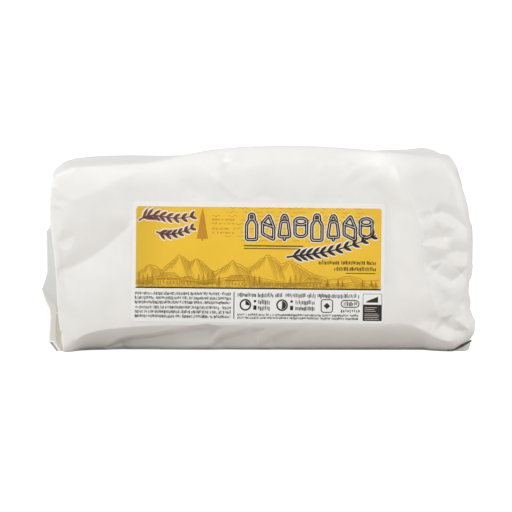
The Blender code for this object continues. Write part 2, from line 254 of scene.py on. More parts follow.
# %% The folds
VALLEY = curved(((-114, 46.5), (-100, 51.2), (-86, 60.3), (-79, 66.6), (-72, 72.2), (-64, 78)))
FRONT_FOLDS = (
    # the left third: a long valley, the ridge round the smooth facet above it, and three nicks
    (VALLEY, -2.8, 22, 24, 0.06, 0.45),
    (
        ((-113.5, 63), (-108, 77), (-106, 86), (-98, 89), (-88, 93), (-78, 99), (-62, 104)),
        0.7, 12, 24, 0.2, 0.3,
    ),
    (((-118.5, 84.5), (-113, 82.6), (-108, 79.3)), 0.4, 4.5, 1.4, 0.1, 0.5),
    (((-114, 84), (-112.5, 86), (-106.5, 85.6)), -0.3, 4, 3, 0.2, 0.4),
    (((-114, 62.5), (-108, 65), (-103, 66.5)), -0.7, 6, 6, 0.15, 0.5),
    (((-115, 44.5), (-109, 54), (-104, 63)), 0.7, 7, 12, 0.15, 0.3),
    (((-114, 26), (-110.5, 19)), -0.4, 3, 3, 0.3, 0.4),
    # the top, over the middle: a tight pleat, a long arc, and a few that run down to the label
    (((-28, 102), (-21, 96.5), (-11, 87.5)), 0.7, 8, 3.4, 0.3, 0.3),
    (((-19, 109), (-14, 98), (-8, 87)), -0.7, 9, 6, 0.15, 0.3),
    (((-18.5, 113), (-19, 109.5), (-22, 107)), -0.2, 2.5, 4, 0.1, 0.4),
    (((-20, 109.5), (-6.7, 105), (4, 106.6), (15.7, 108.2), (36, 108.2)), 0.7, 6, 11, 0.1, 0.2),
    (((32, 108.5), (41, 105.3), (56, 108.2)), 0.4, 4, 9, 0.2, 0.3),
    (((-45, 98), (-34, 91), (-27, 86)), -0.6, 10, 9, 0.3, 0.3),
    (((-3, 87), (3, 89.5), (11, 87)), -0.35, 4, 3, 0.3, 0.3),
    (((30, 86), (37, 99)), 0.35, 6, 8, 0.3, 0.4),
    (((57, 107), (52, 101), (47.5, 95)), 0.3, 4, 3, 0.3, 0.3),
    (((72, 104.5), (62, 102), (52, 97), (46, 90)), -0.28, 8, 4, 0.3, 0.3),
    (((68, 97), (62, 91), (58, 86.5)), -0.22, 8, 5, 0.3, 0.3),
    # the top crease right of the ridge
    (((75, 111), (94.3, 106), (98.6, 105.4), (109, 108.6)), 0.8, 5, 11, 0.3, 0.1),
    (((48, 89), (44.5, 85.5)), -0.3, 3, 3, 0.3, 0.3),
    # the ridge's own line, pulled sharp over its upper and its lower half
    (((89.5, 78), (82.5, 94), (76.5, 107)), 0.8, 12, 15, 0.3, 0.3),
    (((102.5, 19), (98.5, 33), (94.5, 46)), 0.9, 12, 6, 0.2, 0.5),
    # the crumples right of the ridge, from the top down
    (((90.5, 76), (96, 78.4), (100.5, 77.6)), -0.8, 3, 8, 0.2, 0.3),
    (((99, 79), (105, 79.6), (110, 78), (114.5, 74), (121, 69.5)), -1.8, 6, 8, 0.14, 0.0),
    (((98.5, 78.5), (105, 74.2), (112, 69)), 1.1, 6, 5, 0.25, 0.3),
    (((92.5, 62), (98, 65), (111, 66.5)), -1.1, 7, 6, 0.2, 0.3),
    (((92.5, 61.5), (100, 61), (110, 57.5)), 1.1, 6, 6, 0.2, 0.3),
    (((106, 57.5), (113, 57.6), (122.5, 56.4)), -1.3, 7, 12, 0.3, 0.0),
    (((94, 47.5), (99, 52), (108, 53)), -0.9, 5, 5, 0.2, 0.3),
    (((97.5, 49.5), (104, 44), (110, 41), (114, 43.5), (119, 49)), -2.2, 7, 7, 0.15, 0.2),
    (((96, 47), (102, 41), (108, 37), (113, 36.5)), 1.3, 6, 6, 0.2, 0.35),
    (((103, 27), (108, 30), (113, 28)), -0.5, 4, 5, 0.3, 0.3),
    (((114, 30), (118, 27.5), (121.5, 25.5)), -0.8, 4, 4, 0.3, 0.0),
    (((103.5, 20.5), (108, 15.5), (112, 12.5), (119.5, 11)), -2.4, 7, 9, 0.2, 0.1),
    (((111, 20), (115, 16.5), (120.5, 12.5)), 0.9, 2.8, 2.6, 0.25, 0.0),
    (((93, 17.5), (98, 18.5), (104, 16), (112, 11.5)), -0.6, 5, 7, 0.3, 0.2),
    (((88, 15.5), (96, 12), (104, 7.5), (112, 6)), 1.0, 9, 4, 0.25, 0.2),
)
ROLL_FOLDS = (
    (((-88, 1), (-73, 6), (-61.6, 6.9), (-47.3, 9.7), (-33, 12.3), (-20, 14)), -8.0, 3.4, 10, 0.15, 0.12),
    (((-27, 1.6), (-18.8, 6.8), (-4.6, 10.6), (5, 13.4)), -4.5, 3.4, 9, 0.2, 0.25),
    (((2.3, 3.5), (12.5, 7.6), (24, 12)), -2.6, 3.4, 8, 0.3, 0.3),
)
BACK_FOLDS = (
    (((-110, 96), (-70, 70)), 1.6, 14, 12, 0.3, 0.4),
    (((112, 26), (70, 50)), 1.8, 14, 10, 0.3, 0.4),
    (((20, 20), (60, 8)), -1.2, 9, 10, 0.4, 0.3),
    (((-112, 72), (-92, 78), (-72, 74)), -2.0, 6, 8, 0.1, 0.3),
    (((-112, 34), (-96, 30), (-78, 20)), 1.3, 9, 8, 0.1, 0.3),
    (((114, 88), (96, 80), (82, 86)), -2.0, 6, 8, 0.1, 0.3),
    (((114, 72), (98, 66), (78, 70)), 1.9, 6, 7, 0.1, 0.3),
    (((-34, 104), (-22, 88), (2, 78)), 1.5, 7, 8, 0.2, 0.3),
    (((52, 106), (40, 84)), -1.5, 7, 7, 0.2, 0.3),
)
RIGHT_FOLDS = (
    (((-24, 104), (2, 74)), -3.0, 12, 10, 0.1, 0.3),
    (((26, 104), (2, 74)), -2.6, 10, 12, 0.1, 0.3),
    (((-26, 5), (0, 36)), 2.4, 10, 12, 0.2, 0.3),
    (((27, 5), (0, 36)), 2.2, 12, 10, 0.1, 0.3),
    (((0, 36), (3, 74)), 1.8, 14, 14, 0.1, 0.1),
    (((-20, 68), (-10, 60), (-2, 61)), -1.2, 6, 8, 0.1, 0.3),
    (((-20, 50), (-12, 46), (-4, 38)), 1.2, 6, 7, 0.1, 0.3),
    (((-20, 30), (-8, 22), (8, 24)), -1.2, 6, 8, 0.1, 0.3),
)
LEFT_FOLDS = (
    (((-20, 104), (0, 76)), -2.2, 12, 10, 0.1, 0.3),
    (((24, 104), (0, 76)), -2.2, 10, 12, 0.1, 0.3),
    (((-12, 70), (14, 66)), 1.4, 2, 12, 0.1, 0.2),
)
print(len(FRONT_FOLDS), "folds on the front,", len(BACK_FOLDS), "on the back")

# %% [markdown]
# ## From a plain box to a wrapped block
# A box could be beveled and then sculpted, but a bevel gives all its edges one kind of corner, and
# paper pulled over cheese is tight on one edge and loose on the next. So the points of a box are
# moved by rules instead: every edge is rounded by its own radius, then the outlines push the sides
# out, the front leans back and rolls under, and the folds come last.

# %% Rounding the edges


def corner_shifts(from_a, from_b, radius):
    """Rounds a square corner: how far points move inwards from each of its two sides."""
    ring = np.clip(radius - np.minimum(from_a, from_b), 1e-9, None)
    along = np.clip(np.abs(from_a - from_b) / ring, 0, 1)
    turn = math.pi / 4 * (1 - along)
    lengthwise = np.where(along < 1, ring * (1 - np.sin(turn) - along), 0)
    inset = np.where(along < 1, ring * (1 - np.cos(turn)), 0)
    b_is_near = from_b <= from_a
    return np.where(b_is_near, lengthwise, inset), np.where(b_is_near, inset, lengthwise)


def rounded(points):
    """Rounds the box's twelve edges, each by its own radius."""
    moved = points.copy()
    for (first, second), radius in EDGE_RADII.items():
        (a, side_a, inward_a), (b, side_b, inward_b) = SIDES[first], SIDES[second]
        from_a = inward_a * (points[:, a] - side_a)
        from_b = inward_b * (points[:, b] - side_b)
        shift_a, shift_b = corner_shifts(from_a, from_b, radius)
        moved[:, a] += inward_a * shift_a
        moved[:, b] += inward_b * shift_b
    return moved


# %% Wrapping the box
CALM_MARGIN = 2.5
PANEL_BLEND = 7.0
LEFT_BLEND, RIGHT_BLEND = 24.0, 30.0
LEFT_SIDE_BLEND, RIGHT_SIDE_BLEND = 4.0, 8.0


def front_setback(x, z):
    """How far the front panel lies behind its plane: it leans back, shoulders over and rolls under."""
    lean = LEAN * np.clip(z - LEAN_START, 0, None)
    start = smooth_line(SHOULDER_START, x)
    shoulder = np.clip((z - start) / (HEIGHT - start), 0, 1) ** SHOULDER_CURVE
    roll_height = smooth_line(ROLL_HEIGHT, x)
    under = np.clip((roll_height - z) / roll_height, 0, 1) ** smooth_line(ROLL_CURVE, x)
    ease = ROLL_EASE * np.clip((roll_height - z) / ROLL_EASE_HEIGHT + 1, 0, 1) ** 2
    roll = ROLL_DEPTH * np.clip(roll_height / FULL_ROLL_HEIGHT, 0, 1) * under
    bevel = COLUMN_SLOPE * np.clip(smooth_line(COLUMN_WIDTH, z) - (x - LEFT), 0, None) ** 1.5
    return lean + shoulder * smooth_line(SHOULDER_DEPTH, x) + roll + ease + bevel


def left_end_reach(y, z):
    """How far the folded flaps of the left end stand out past the front panel's fold line."""
    behind = y - FRONT
    flap = smooth_line(FLAP_REACH, z)
    gap = FLAP_GAP_DEPTH * np.clip((FLAP_TOP - z) / FLAP_TOP_FADE, 0.25, 1)
    rise = np.clip((behind - FLAP_GAP) / (FLAP_RIDGE - FLAP_GAP), 0, 1)
    fade = near(behind - FLAP_RIDGE, DEPTH - FLAP_RIDGE) ** 0.5
    opening = np.clip(behind / FLAP_GAP, 0, 1) * (1 - rise)
    return flap * rise * fade - gap * opening


def near_middle(y):
    """1 over the middle of an end, falling to 0 at its front and back edges."""
    return np.clip(2.2 * (1 - np.abs(2 * (y - FRONT) / DEPTH - 1)), 0, 1)


def outside_label(x, z):
    """0 under the label, where the paper is held flat, rising to 1 a little way outside it."""
    out_x = np.maximum(LABEL_LEFT - x, x - LABEL_RIGHT)
    out_z = np.maximum(LABEL_BOTTOM - z, z - LABEL_TOP)
    return eased(np.clip(np.maximum(out_x, out_z) / CALM_MARGIN, 0, 1))


def wrapped(points, folds=True):
    """Turns points on the plain box into points on the wrapped block."""
    x, y, z = points.T
    shaped = rounded(points)
    depth_share = (BACK - y) / DEPTH
    near_front, near_back = near(y - FRONT, PANEL_BLEND), near(BACK - y, PANEL_BLEND)
    near_left, near_right = near(x - LEFT, LEFT_BLEND), near(RIGHT - x, RIGHT_BLEND)
    on_left, on_right = near(x - LEFT, LEFT_SIDE_BLEND), near(RIGHT - x, RIGHT_SIDE_BLEND)
    upper = np.clip((z - LABEL_TOP) / (HEIGHT - LABEL_TOP), 0, 1)

    shaped[:, 0] += near_left * (smooth_line(LEFT_FOLD, z) - LEFT)
    shaped[:, 0] += near_right * (smooth_line(RIGHT_END, z) - RIGHT)
    shaped[:, 0] -= on_left * left_end_reach(y, z)
    shaped[:, 1] += depth_share * front_setback(x, z)
    to_back = smooth_line(TOP_BACK_RISE, x) * (1 - depth_share)
    shaped[:, 2] += upper * (smooth_line(TOP_LINE, x) - HEIGHT + to_back)
    seen_x, seen_z = shaped[:, 0].copy(), shaped[:, 2].copy()
    shaped[:, 1] -= near_front * ridge_height(seen_x, seen_z)
    if folds:
        shaped[:, 0] -= on_left * near_middle(y) * creased(y, z, LEFT_FOLDS)
        shaped[:, 0] += on_right * near_middle(y) * creased(y, z, RIGHT_FOLDS)
        shaped[:, 1] -= near_front * outside_label(x, z) * creased(seen_x, seen_z, FRONT_FOLDS)
        shaped[:, 1] -= near_front * creased(seen_x, seen_z, ROLL_FOLDS)
        shaped[:, 1] += near_back * creased(x, z, BACK_FOLDS)
    shaped[:, 2] = np.where(z == 0, 0, np.maximum(shaped[:, 2], 0))
    return shaped


# %% [markdown]
# ## Paper, card and ink as materials
# Waxed paper isn't one white. Its fibres are a little uneven, so wax lies thicker here and thinner
# there, which shows as faint mottling in the colour and still more in the gloss. The same grain is
# in the label's card, only finer. So it is one node group with its own scale for each material, and
# each material keeps its own shader. The inks show a trace of it too.

# %% Helpers for nodes


def feed(tree, target, inputs):
    """Sets a node's inputs, each to a value or to a link from another node's output."""
    for key, value in dict(inputs).items():
        if isinstance(value, bpy.types.NodeSocket):
            tree.links.new(value, target.inputs[key])
        else:
            target.inputs[key].default_value = value
    return target


def node(tree, kind, inputs=(), **settings):
    """Adds a node with its settings and its inputs."""
    made = tree.nodes.new(kind)
    for key, value in settings.items():
        setattr(made, key, value)
    return feed(tree, made, inputs)


def group_ends(group, given, results):
    """Names what goes into a node group and what comes out of it, and adds its two end nodes."""
    for side, sockets in (("INPUT", given), ("OUTPUT", results)):
        for name, kind in sockets.items():
            group.interface.new_socket(name, in_out=side, socket_type="NodeSocket" + kind)
    return node(group, "NodeGroupInput").outputs, node(group, "NodeGroupOutput").inputs


# %% One grain for every paper
grain = bpy.data.node_groups.new("paper grain", "ShaderNodeTree")
given, results = group_ends(
    grain, {"Vector": "Vector", "Cells per metre": "Float"}, {"Mottle": "Float", "Height": "Float"},
)
for result, share, detail in (("Mottle", 0.08, 3.0), ("Height", 1.0, 4.0)):
    cells = {0: given["Cells per metre"], 1: share}
    scale = node(grain, "ShaderNodeMath", cells, operation="MULTIPLY").outputs[0]
    spots = {"Vector": given["Vector"], "Scale": scale, "Detail": detail}
    noise = node(grain, "ShaderNodeTexNoise", spots)
    grain.links.new(noise.outputs["Fac"], results[result])
print("the grain gives", [socket.name for socket in results if socket.name])


# %% Papers and inks


def shaded(name, light, dark, gloss=(0.36, 0.46), cells=900, bump=0.25, specular=0.5):
    """A paper or an ink: two tints and two roughnesses, mixed by the grain's mottling."""
    material = bpy.data.materials.new(name)
    material.use_nodes = True
    tree = material.node_tree
    place = node(tree, "ShaderNodeTexCoord").outputs["Object"]
    group = node(tree, "ShaderNodeGroup", node_tree=grain)
    feed(tree, group, {"Vector": place, "Cells per metre": cells})
    spread = {"Value": group.outputs["Mottle"], "From Min": 0.35, "From Max": 0.65}
    spread = node(tree, "ShaderNodeMapRange", spread).outputs[0]
    tint = node(tree, "ShaderNodeMix", data_type="RGBA")
    feed(tree, tint, {0: spread, 6: (*light, 1), 7: (*dark, 1)})
    rough = node(tree, "ShaderNodeMapRange", {"Value": spread, "To Min": gloss[0], "To Max": gloss[1]})
    relief = {"Strength": bump, "Distance": 0.0001, "Height": group.outputs["Height"]}
    relief = node(tree, "ShaderNodeBump", relief)
    feed(tree, tree.nodes["Principled BSDF"], {
        "Base Color": tint.outputs[2], "Roughness": rough.outputs[0],
        "Specular IOR Level": specular, "Normal": relief.outputs[0],
    })
    return material


def darkened_towards(material, axis, start, end, share):
    """Lets a material's tint rise along one axis, from a share of it at start to all of it at end."""
    tree = material.node_tree
    shader = tree.nodes["Principled BSDF"]
    tint = shader.inputs["Base Color"].links[0].from_socket
    parts = node(tree, "ShaderNodeSeparateXYZ", {0: node(tree, "ShaderNodeTexCoord").outputs["Object"]})
    fade = node(tree, "ShaderNodeMapRange", interpolation_type="SMOOTHSTEP")
    feed(tree, fade, {"Value": parts.outputs[axis], "From Min": start, "From Max": end, "To Min": share})
    dimmed = node(tree, "ShaderNodeVectorMath", operation="SCALE")
    feed(tree, dimmed, {0: tint, "Scale": fade.outputs[0]})
    feed(tree, shader, {"Base Color": dimmed.outputs[0]})


ROUGH, SATIN = (0.5, 0.6), (0.4, 0.46)
paper_white = shaded("waxed paper", (0.80, 0.796, 0.783), (0.77, 0.766, 0.753))
# Painted shade: three darker copies of the paper for the loose flaps, two cool and one warm.
paper_painted_shade = shaded("waxed paper in painted shade", (0.66, 0.68, 0.68), (0.68, 0.69, 0.67))
paper_warm_painted_shade = shaded("waxed paper in warm painted shade", (0.72, 0.71, 0.68), (0.69, 0.68, 0.65))
paper_cool_painted_shade = shaded("waxed paper in cool painted shade near the floor", (0.62, 0.645, 0.64), (0.55, 0.575, 0.57), (0.4, 0.5))
# Painted shade: the dark sheet on the tucked lower left corner.
shade_on_tuck = shaded("painted shade of the tucked corner", (0.50, 0.51, 0.50), (0.44, 0.45, 0.44), ROUGH)
# Painted shade: the warm dark tint in the gap behind the front panel's left edge.
shade_in_left_gap = shaded("painted shade in the left gap", (0.60, 0.575, 0.50), (0.55, 0.525, 0.45), ROUGH)
# Painted highlight: the brighter white along the flaps' cut edges.
edge_painted_highlight = shaded("cut edge with painted highlight", (0.9, 0.9, 0.89), (0.88, 0.88, 0.87), ROUGH)
# Painted shadow: the near-black strip in the gap at the lower right.
shadow_in_right_gap = shaded("painted shadow in the right gap", (0.10, 0.08, 0.055), (0.08, 0.065, 0.045), (0.6, 0.7), 900, 0.1)
card_white = shaded("label card", (0.83, 0.842, 0.842), (0.81, 0.822, 0.822), (0.34, 0.4), 2500, 0.1)
yellow = shaded("yellow ink", (0.84, 0.535, 0.037), (0.81, 0.50, 0.031), (0.34, 0.42), 600, 0.1, 0.35)
ochre = shaded("ochre engraving ink", (0.52, 0.29, 0.02), (0.46, 0.25, 0.018), SATIN, 900, 0.1, 0.3)
orange = shaded("light ochre ink", (0.56, 0.26, 0.02), (0.5, 0.23, 0.018), SATIN, 900, 0.1, 0.3)
brown = shaded("brown ink", (0.2, 0.075, 0.05), (0.13, 0.05, 0.04), SATIN, 500, 0.1, 0.3)
dark = shaded("dark ink", (0.025, 0.02, 0.019), (0.035, 0.028, 0.026), SATIN, 500, 0.1, 0.3)
white = shaded("white ink", (0.8, 0.76, 0.7), (0.78, 0.74, 0.68), SATIN, 900, 0.1, 0.3)
# The yellow darkens towards its left and its bottom: partly the print's own tone, partly painted shade.
darkened_towards(yellow, "X", -0.0715, -0.045, 0.84)
darkened_towards(yellow, "Z", 0.036, 0.050, 0.94)
print(len(bpy.data.materials), "materials")

# %% [markdown]
# ## The paper as one closed mesh
# The paper is one closed sheet, so it is one mesh: six grids that share their edges. The grid lines
# are closer together where the folds are small, at the right end and along the front, and wider
# apart on the back and under the label. That spends the triangles where the eye looks.

# %% The mesh of the paper
X_STEPS = ((LEFT, -70, 38), (-70, 78, 84), (78, RIGHT, 48))
Y_STEPS = ((FRONT, -19.5, 8), (-19.5, BACK, 14))
Z_STEPS = ((0, 20, 20), (20, 84, 54), (84, HEIGHT, 24))
CORNER_REACH, CORNER_ROUNDS = 13.0, 60


def stops(steps):
    """The places of the cutting lines: each stretch is (from, to, how many steps)."""
    places = [steps[0][0]]
    for start, end, count in steps:
        places += list(np.linspace(start, end, count + 1)[1:])
    return np.array(places)


def panel_box(lines, finer_front=False):
    """A closed box of six grids, cut along the given lines of x, y and z."""
    counts = [len(line) - 1 for line in lines]
    mesh = bmesh.new()
    for axis in range(3):
        across, up = (axis + 1) % 3, (axis + 2) % 3
        for side in (0, counts[axis]):
            segments = {"x_segments": counts[across], "y_segments": counts[up]}
            grid = bmesh.ops.create_grid(mesh, **segments, size=0.5)
            for vert in grid["verts"]:
                step = [0, 0, 0]
                step[axis] = side
                step[across] = round((vert.co.x + 0.5) * counts[across])
                step[up] = round((vert.co.y + 0.5) * counts[up])
                vert.co = step
    bmesh.ops.remove_doubles(mesh, verts=mesh.verts, dist=0.1)
    if finer_front:
        front = [face for face in mesh.faces if all(vert.co.y < 0.1 for vert in face.verts)]
        edges = list(dict.fromkeys(edge for face in front for edge in face.edges))
        bmesh.ops.subdivide_edges(mesh, edges=edges, cuts=1, use_grid_fill=True)
    steps = np.array([vert.co for vert in mesh.verts])
    places = [np.interp(steps[:, axis], np.arange(len(line)), line) for axis, line in enumerate(lines)]
    return mesh, np.stack(places, axis=1)


def soften_corners(mesh, box):
    """Relaxes the points round the eight corners, where three rounded edges run together."""
    from_corner = np.linalg.norm(np.minimum(box - box.min(axis=0), box.max(axis=0) - box), axis=1)
    on_floor = box[:, 2] == 0
    mesh.verts.ensure_lookup_table()
    for floor in (False, True):
        corner = [mesh.verts[i] for i in np.flatnonzero((from_corner < CORNER_REACH) & (on_floor == floor))]
        axes = {"use_axis_x": True, "use_axis_y": True, "use_axis_z": not floor}
        for _ in range(CORNER_ROUNDS):
            bmesh.ops.smooth_vert(mesh, verts=corner, factor=0.5, **axes)


def placed(mesh, places):
    """Puts the places, in millimetres, into the mesh."""
    for vert, place in zip(mesh.verts, places):
        vert.co = place * MM


def added(name, data):
    """Puts a new object with this data into the scene."""
    obj = bpy.data.objects.new(name, data)
    bpy.context.scene.collection.objects.link(obj)
    return obj


def finished(mesh, name, material, sharp_angle=60):
    """Makes an object of the mesh."""
    bmesh.ops.recalc_face_normals(mesh, faces=mesh.faces)
    data = bpy.data.meshes.new(name)
    mesh.to_mesh(data)
    mesh.free()
    data.shade_smooth()
    data.set_sharp_from_angle(angle=math.radians(sharp_angle))
    data.materials.append(material)
    return added(name, data)


mesh, box_points = panel_box([stops(X_STEPS), stops(Y_STEPS), stops(Z_STEPS)], finer_front=True)
placed(mesh, wrapped(box_points))
soften_corners(mesh, box_points)
paper = finished(mesh, "wrapped_paper", paper_white)
print("paper:", len(paper.data.loops) - 2 * len(paper.data.polygons), "triangles")

# %% [markdown]
# ## The label's card
# The label is coated paper, cut with rounded corners and glued flat to the front. A plane would
# sink into the front, which leans back a little, so the card is laid on the same rule as the front
# itself, only a hair further out. Everything printed on it is laid on that rule too.

# %% Places on the label
CARD_GAP = 0.04
CARD_THICKNESS = 0.16
LABEL_WIDTH = LABEL_RIGHT - LABEL_LEFT
LABEL_HEIGHT = LABEL_TOP - LABEL_BOTTOM


def on_label(u, v, height):
    """A point on the label, u from its left edge and v from its lower edge, that far off the card."""
    u, v = np.atleast_1d(np.asarray(u, float)), np.atleast_1d(np.asarray(v, float))
    from_middle_x, from_middle_z = u - LABEL_WIDTH / 2, v - LABEL_HEIGHT / 2
    cos, sin = math.cos(LABEL_TURN), math.sin(LABEL_TURN)
    x = (LABEL_LEFT + LABEL_RIGHT) / 2 + from_middle_x * cos + from_middle_z * sin
    z = (LABEL_BOTTOM + LABEL_TOP) / 2 + from_middle_z * cos - from_middle_x * sin
    place = wrapped(np.stack([x, np.full(x.shape, FRONT), z], axis=1), folds=False)
    place[:, 1] -= CARD_GAP + CARD_THICKNESS + height
    return place


# %% The card
def card_points(box):
    """Lays a box of label size on the front: its corners are rounded, its depth is the card's."""
    u, depth, v = box.T
    from_side = LABEL_WIDTH / 2 - np.abs(u - LABEL_WIDTH / 2)
    from_edge = LABEL_HEIGHT / 2 - np.abs(v - LABEL_HEIGHT / 2)
    shift_u, shift_v = corner_shifts(from_side, from_edge, LABEL_CORNER)
    u = u - np.sign(u - LABEL_WIDTH / 2) * shift_u
    v = v - np.sign(v - LABEL_HEIGHT / 2) * shift_v
    return on_label(u, v, -depth * CARD_THICKNESS)


def card_stops(length, steps):
    """Cutting lines along one side of the card, close together at its round corners."""
    near_end = length - LABEL_CORNER
    return stops(((0, LABEL_CORNER, 6), (LABEL_CORNER, near_end, steps), (near_end, length, 6)))


lines = [card_stops(LABEL_WIDTH, 60), np.array([0.0, 1.0]), card_stops(LABEL_HEIGHT, 30)]
mesh, box_points = panel_box(lines)
placed(mesh, card_points(box_points))
card = finished(mesh, "label_card", card_white, sharp_angle=40)
print("card:", LABEL_WIDTH, "by", LABEL_HEIGHT, "mm")

# %% [markdown]
# ## What the printing is made of
# Ink is far thinner than paper, but it is still a layer with an edge. So each colour of ink is its
# own thin slab, a few hundredths of a millimetre thick, laid on the rule of the label. An image
# would be quicker, and it would blur as soon as one looks closely. Two helpers draw nearly all of
# it: a ribbon, which is a line with a width, and a band, which fills between a lower and an upper
# line.

# %% Ribbons and bands
LONGEST_STEP = 4.0
CAP_TURNS = np.array([0.6, 1.1, 1.45])


def resampled(path, closed=False):
    """The path's points, with more put in where two are further apart than the longest step."""
    path = [np.array(point, float) for point in path]
    if closed:
        path.append(path[0])
    points = []
    for start, end in zip(path, path[1:]):
        count = max(1, math.ceil(np.linalg.norm(end - start) / LONGEST_STEP))
        points += [start + (end - start) * i / count for i in range(count)]
    return np.array(points if closed else points + [path[-1]])


def unit(vectors):
    """The same directions, each of length 1."""
    return vectors / np.linalg.norm(vectors, axis=1)[:, None]


def ribbon(path, width, closed=False, caps=True):
    """A line of that width, or of a width at each point, as (points, faces). Its ends are round."""
    points = resampled(path, closed)
    share = np.linspace(0, 1, len(points))
    widths = np.interp(share, np.linspace(0, 1, np.size(width)), np.atleast_1d(width))
    way_out = np.roll(points, -1, axis=0) - points
    if not closed:
        way_out[-1] = way_out[-2]
    way_out = unit(way_out)
    way_in = np.roll(way_out, 1, axis=0)
    if not closed:
        way_in[0] = way_out[0]
    way = unit(way_in + way_out)
    side = np.stack([-way[:, 1], way[:, 0]], axis=1)
    mitre = np.clip(1 / np.clip((way * way_out).sum(axis=1), 0.4, 1), 1, 1.6)
    if caps and not closed:
        reach, thin = np.sin(CAP_TURNS)[:, None] / 2, np.cos(CAP_TURNS)
        head = points[0] - way[0] * widths[0] * reach
        tail = points[-1] + way[-1] * widths[-1] * reach
        points = np.vstack([head[::-1], points, tail])
        widths = np.concatenate([widths[0] * thin[::-1], widths, widths[-1] * thin])
        side = np.vstack([[side[0]] * 3, side, [side[-1]] * 3])
        mitre = np.pad(mitre, 3, constant_values=1)
    offset = side * (widths * mitre / 2)[:, None]
    count = len(points)
    faces = [(i, count + i, count + (i + 1) % count, (i + 1) % count) for i in range(count - (not closed))]
    return np.vstack([points + offset, points - offset]), faces


def stroke(path, width):
    """A ribbon with square ends."""
    return ribbon(path, width, caps=False)


def band(across, low, high):
    """Fills between a lower and an upper line, each given at the same places across."""
    across, low, high = (np.asarray(part, float) for part in (across, low, high))
    rows = max(1, math.ceil((high - low).max() / LONGEST_STEP))
    points = [np.stack([across, low + (high - low) * r / rows], axis=1) for r in range(rows + 1)]
    count = len(across)
    faces = [
        (r * count + i, r * count + i + 1, (r + 1) * count + i + 1, (r + 1) * count + i)
        for r in range(rows)
        for i in range(count - 1)
    ]
    return np.vstack(points), faces


def disc(middle_u, middle_v, radius):
    """A round dot."""
    turn = np.linspace(math.pi - 0.02, 0.02, 7)
    half = radius * np.sin(turn)
    return band(middle_u + radius * np.cos(turn), middle_v - half, middle_v + half)


def plate(left, low, right, high, corner):
    """A rectangle with round corners."""
    turn = np.linspace(0, math.pi / 2, 5)
    inset, rise = corner * (1 - np.sin(turn)), corner * (1 - np.cos(turn))
    stations = max(2, math.ceil((right - left) / LONGEST_STEP))
    middle = np.linspace(left + corner, right - corner, stations)[1:-1]
    across = np.concatenate([left + inset[::-1], middle, right - inset])
    edge = np.concatenate([rise[::-1], np.zeros(len(middle)), rise])
    return band(across, low + edge, high - edge)


def plate_edge(left, low, right, high, corner, width):
    """The outline of such a rectangle, as a closed ribbon."""
    path = []
    for middle_u, middle_v, start in (
        (right - corner, low + corner, -90), (right - corner, high - corner, 0),
        (left + corner, high - corner, 90), (left + corner, low + corner, 180),
    ):
        for degrees in range(start, start + 91, 18):
            turn = math.radians(degrees)
            path.append((middle_u + corner * math.cos(turn), middle_v + corner * math.sin(turn)))
    return ribbon(path, width, closed=True)


def moved(shape, along, up, turn):
    """A shape drawn about the origin, turned and put in its place."""
    points, faces = shape
    cos, sin = math.cos(turn), math.sin(turn)
    return points @ np.array([[cos, sin], [-sin, cos]]) + (along, up), faces


# %% Slabs
INK_DEPTH = 0.03


def slabs(name, material, shapes, lay, height, depth):
    """Makes one thin closed slab of each flat shape, its face that far off what it is laid on."""
    points, faces = [], []
    for flat, polygons in shapes:
        start, count = len(points), len(flat)
        points += list(lay(flat[:, 0], flat[:, 1], height))
        points += list(lay(flat[:, 0], flat[:, 1], height - depth))
        edges = [(p[i], p[(i + 1) % len(p)]) for p in polygons for i in range(len(p))]
        outer = set(edges) - {(b, a) for a, b in edges}
        faces += [[start + i for i in p] for p in polygons]
        faces += [[start + count + i for i in reversed(p)] for p in polygons]
        faces += [[start + b, start + a, start + count + a, start + count + b] for a, b in sorted(outer)]
    mesh = bmesh.new()
    data = bpy.data.meshes.new(name + "_draft")
    data.from_pydata([tuple(p * MM) for p in points], [], faces)
    mesh.from_mesh(data)
    bpy.data.meshes.remove(data)
    return finished(mesh, name, material, sharp_angle=30)


def ink(name, material, shapes, height):
    """Prints the shapes on the label as one piece, in one colour."""
    return slabs("label_" + name, material, shapes, on_label, height, INK_DEPTH)


# %% [markdown]
# ## The yellow field
# The upper two thirds of the label are one field of warm yellow with round corners, closed by a
# dark rule. It is a plate, and its ink is a little darker towards its left and its lower side:
# partly the print's own tone, partly painted shade.

# %% The field and its rules
FIELD = (2.2, 19.9, 141.3, 65.5)
field = ink("field", yellow, [plate(*FIELD, 1.7)], 0.02)

dark_shapes = [
    plate(FIELD[0], 19.15, FIELD[2], 19.95, 0.02),
    plate(63.4, 43.4, 97.0, 44.05, 0.2), plate(63.4, 41.95, 95.0, 42.4, 0.15),
    plate(121.4, 28.5, 138.1, 28.9, 0.12),
    plate(57.85, 2.2, 58.35, 17.4, 0.1),
]

# %% [markdown]
# ## The pictures on the field
# A cheese label of this kind carries a drawing of the country that the cheese comes from, cut like
# an engraving in a darker ochre. Here it is a range of peaks with farmhouses, fir trees, a fence and
# thin clouds. An engraver cuts single strokes, so all of it is made of ribbons that thin out.

# %% Peaks, firs and a fence
PEAKS = (
    (2.6, 27), (10, 33), (17, 29.5), (27, 38.5), (33, 34.5), (37, 36.5), (47, 28.5), (57, 35), (66, 30.5),
    (77, 39), (85, 33.5), (90, 35.5), (101, 29), (112, 25), (124, 27), (133, 24.2), (141, 25.2),
)
HILLS = ((2.6, 23.5), (20, 27), (41, 23.5), (63, 27), (88, 23), (110, 22.2), (126, 23.6), (141, 22))
DRAWING_SEED = 7
random = np.random.default_rng(DRAWING_SEED)


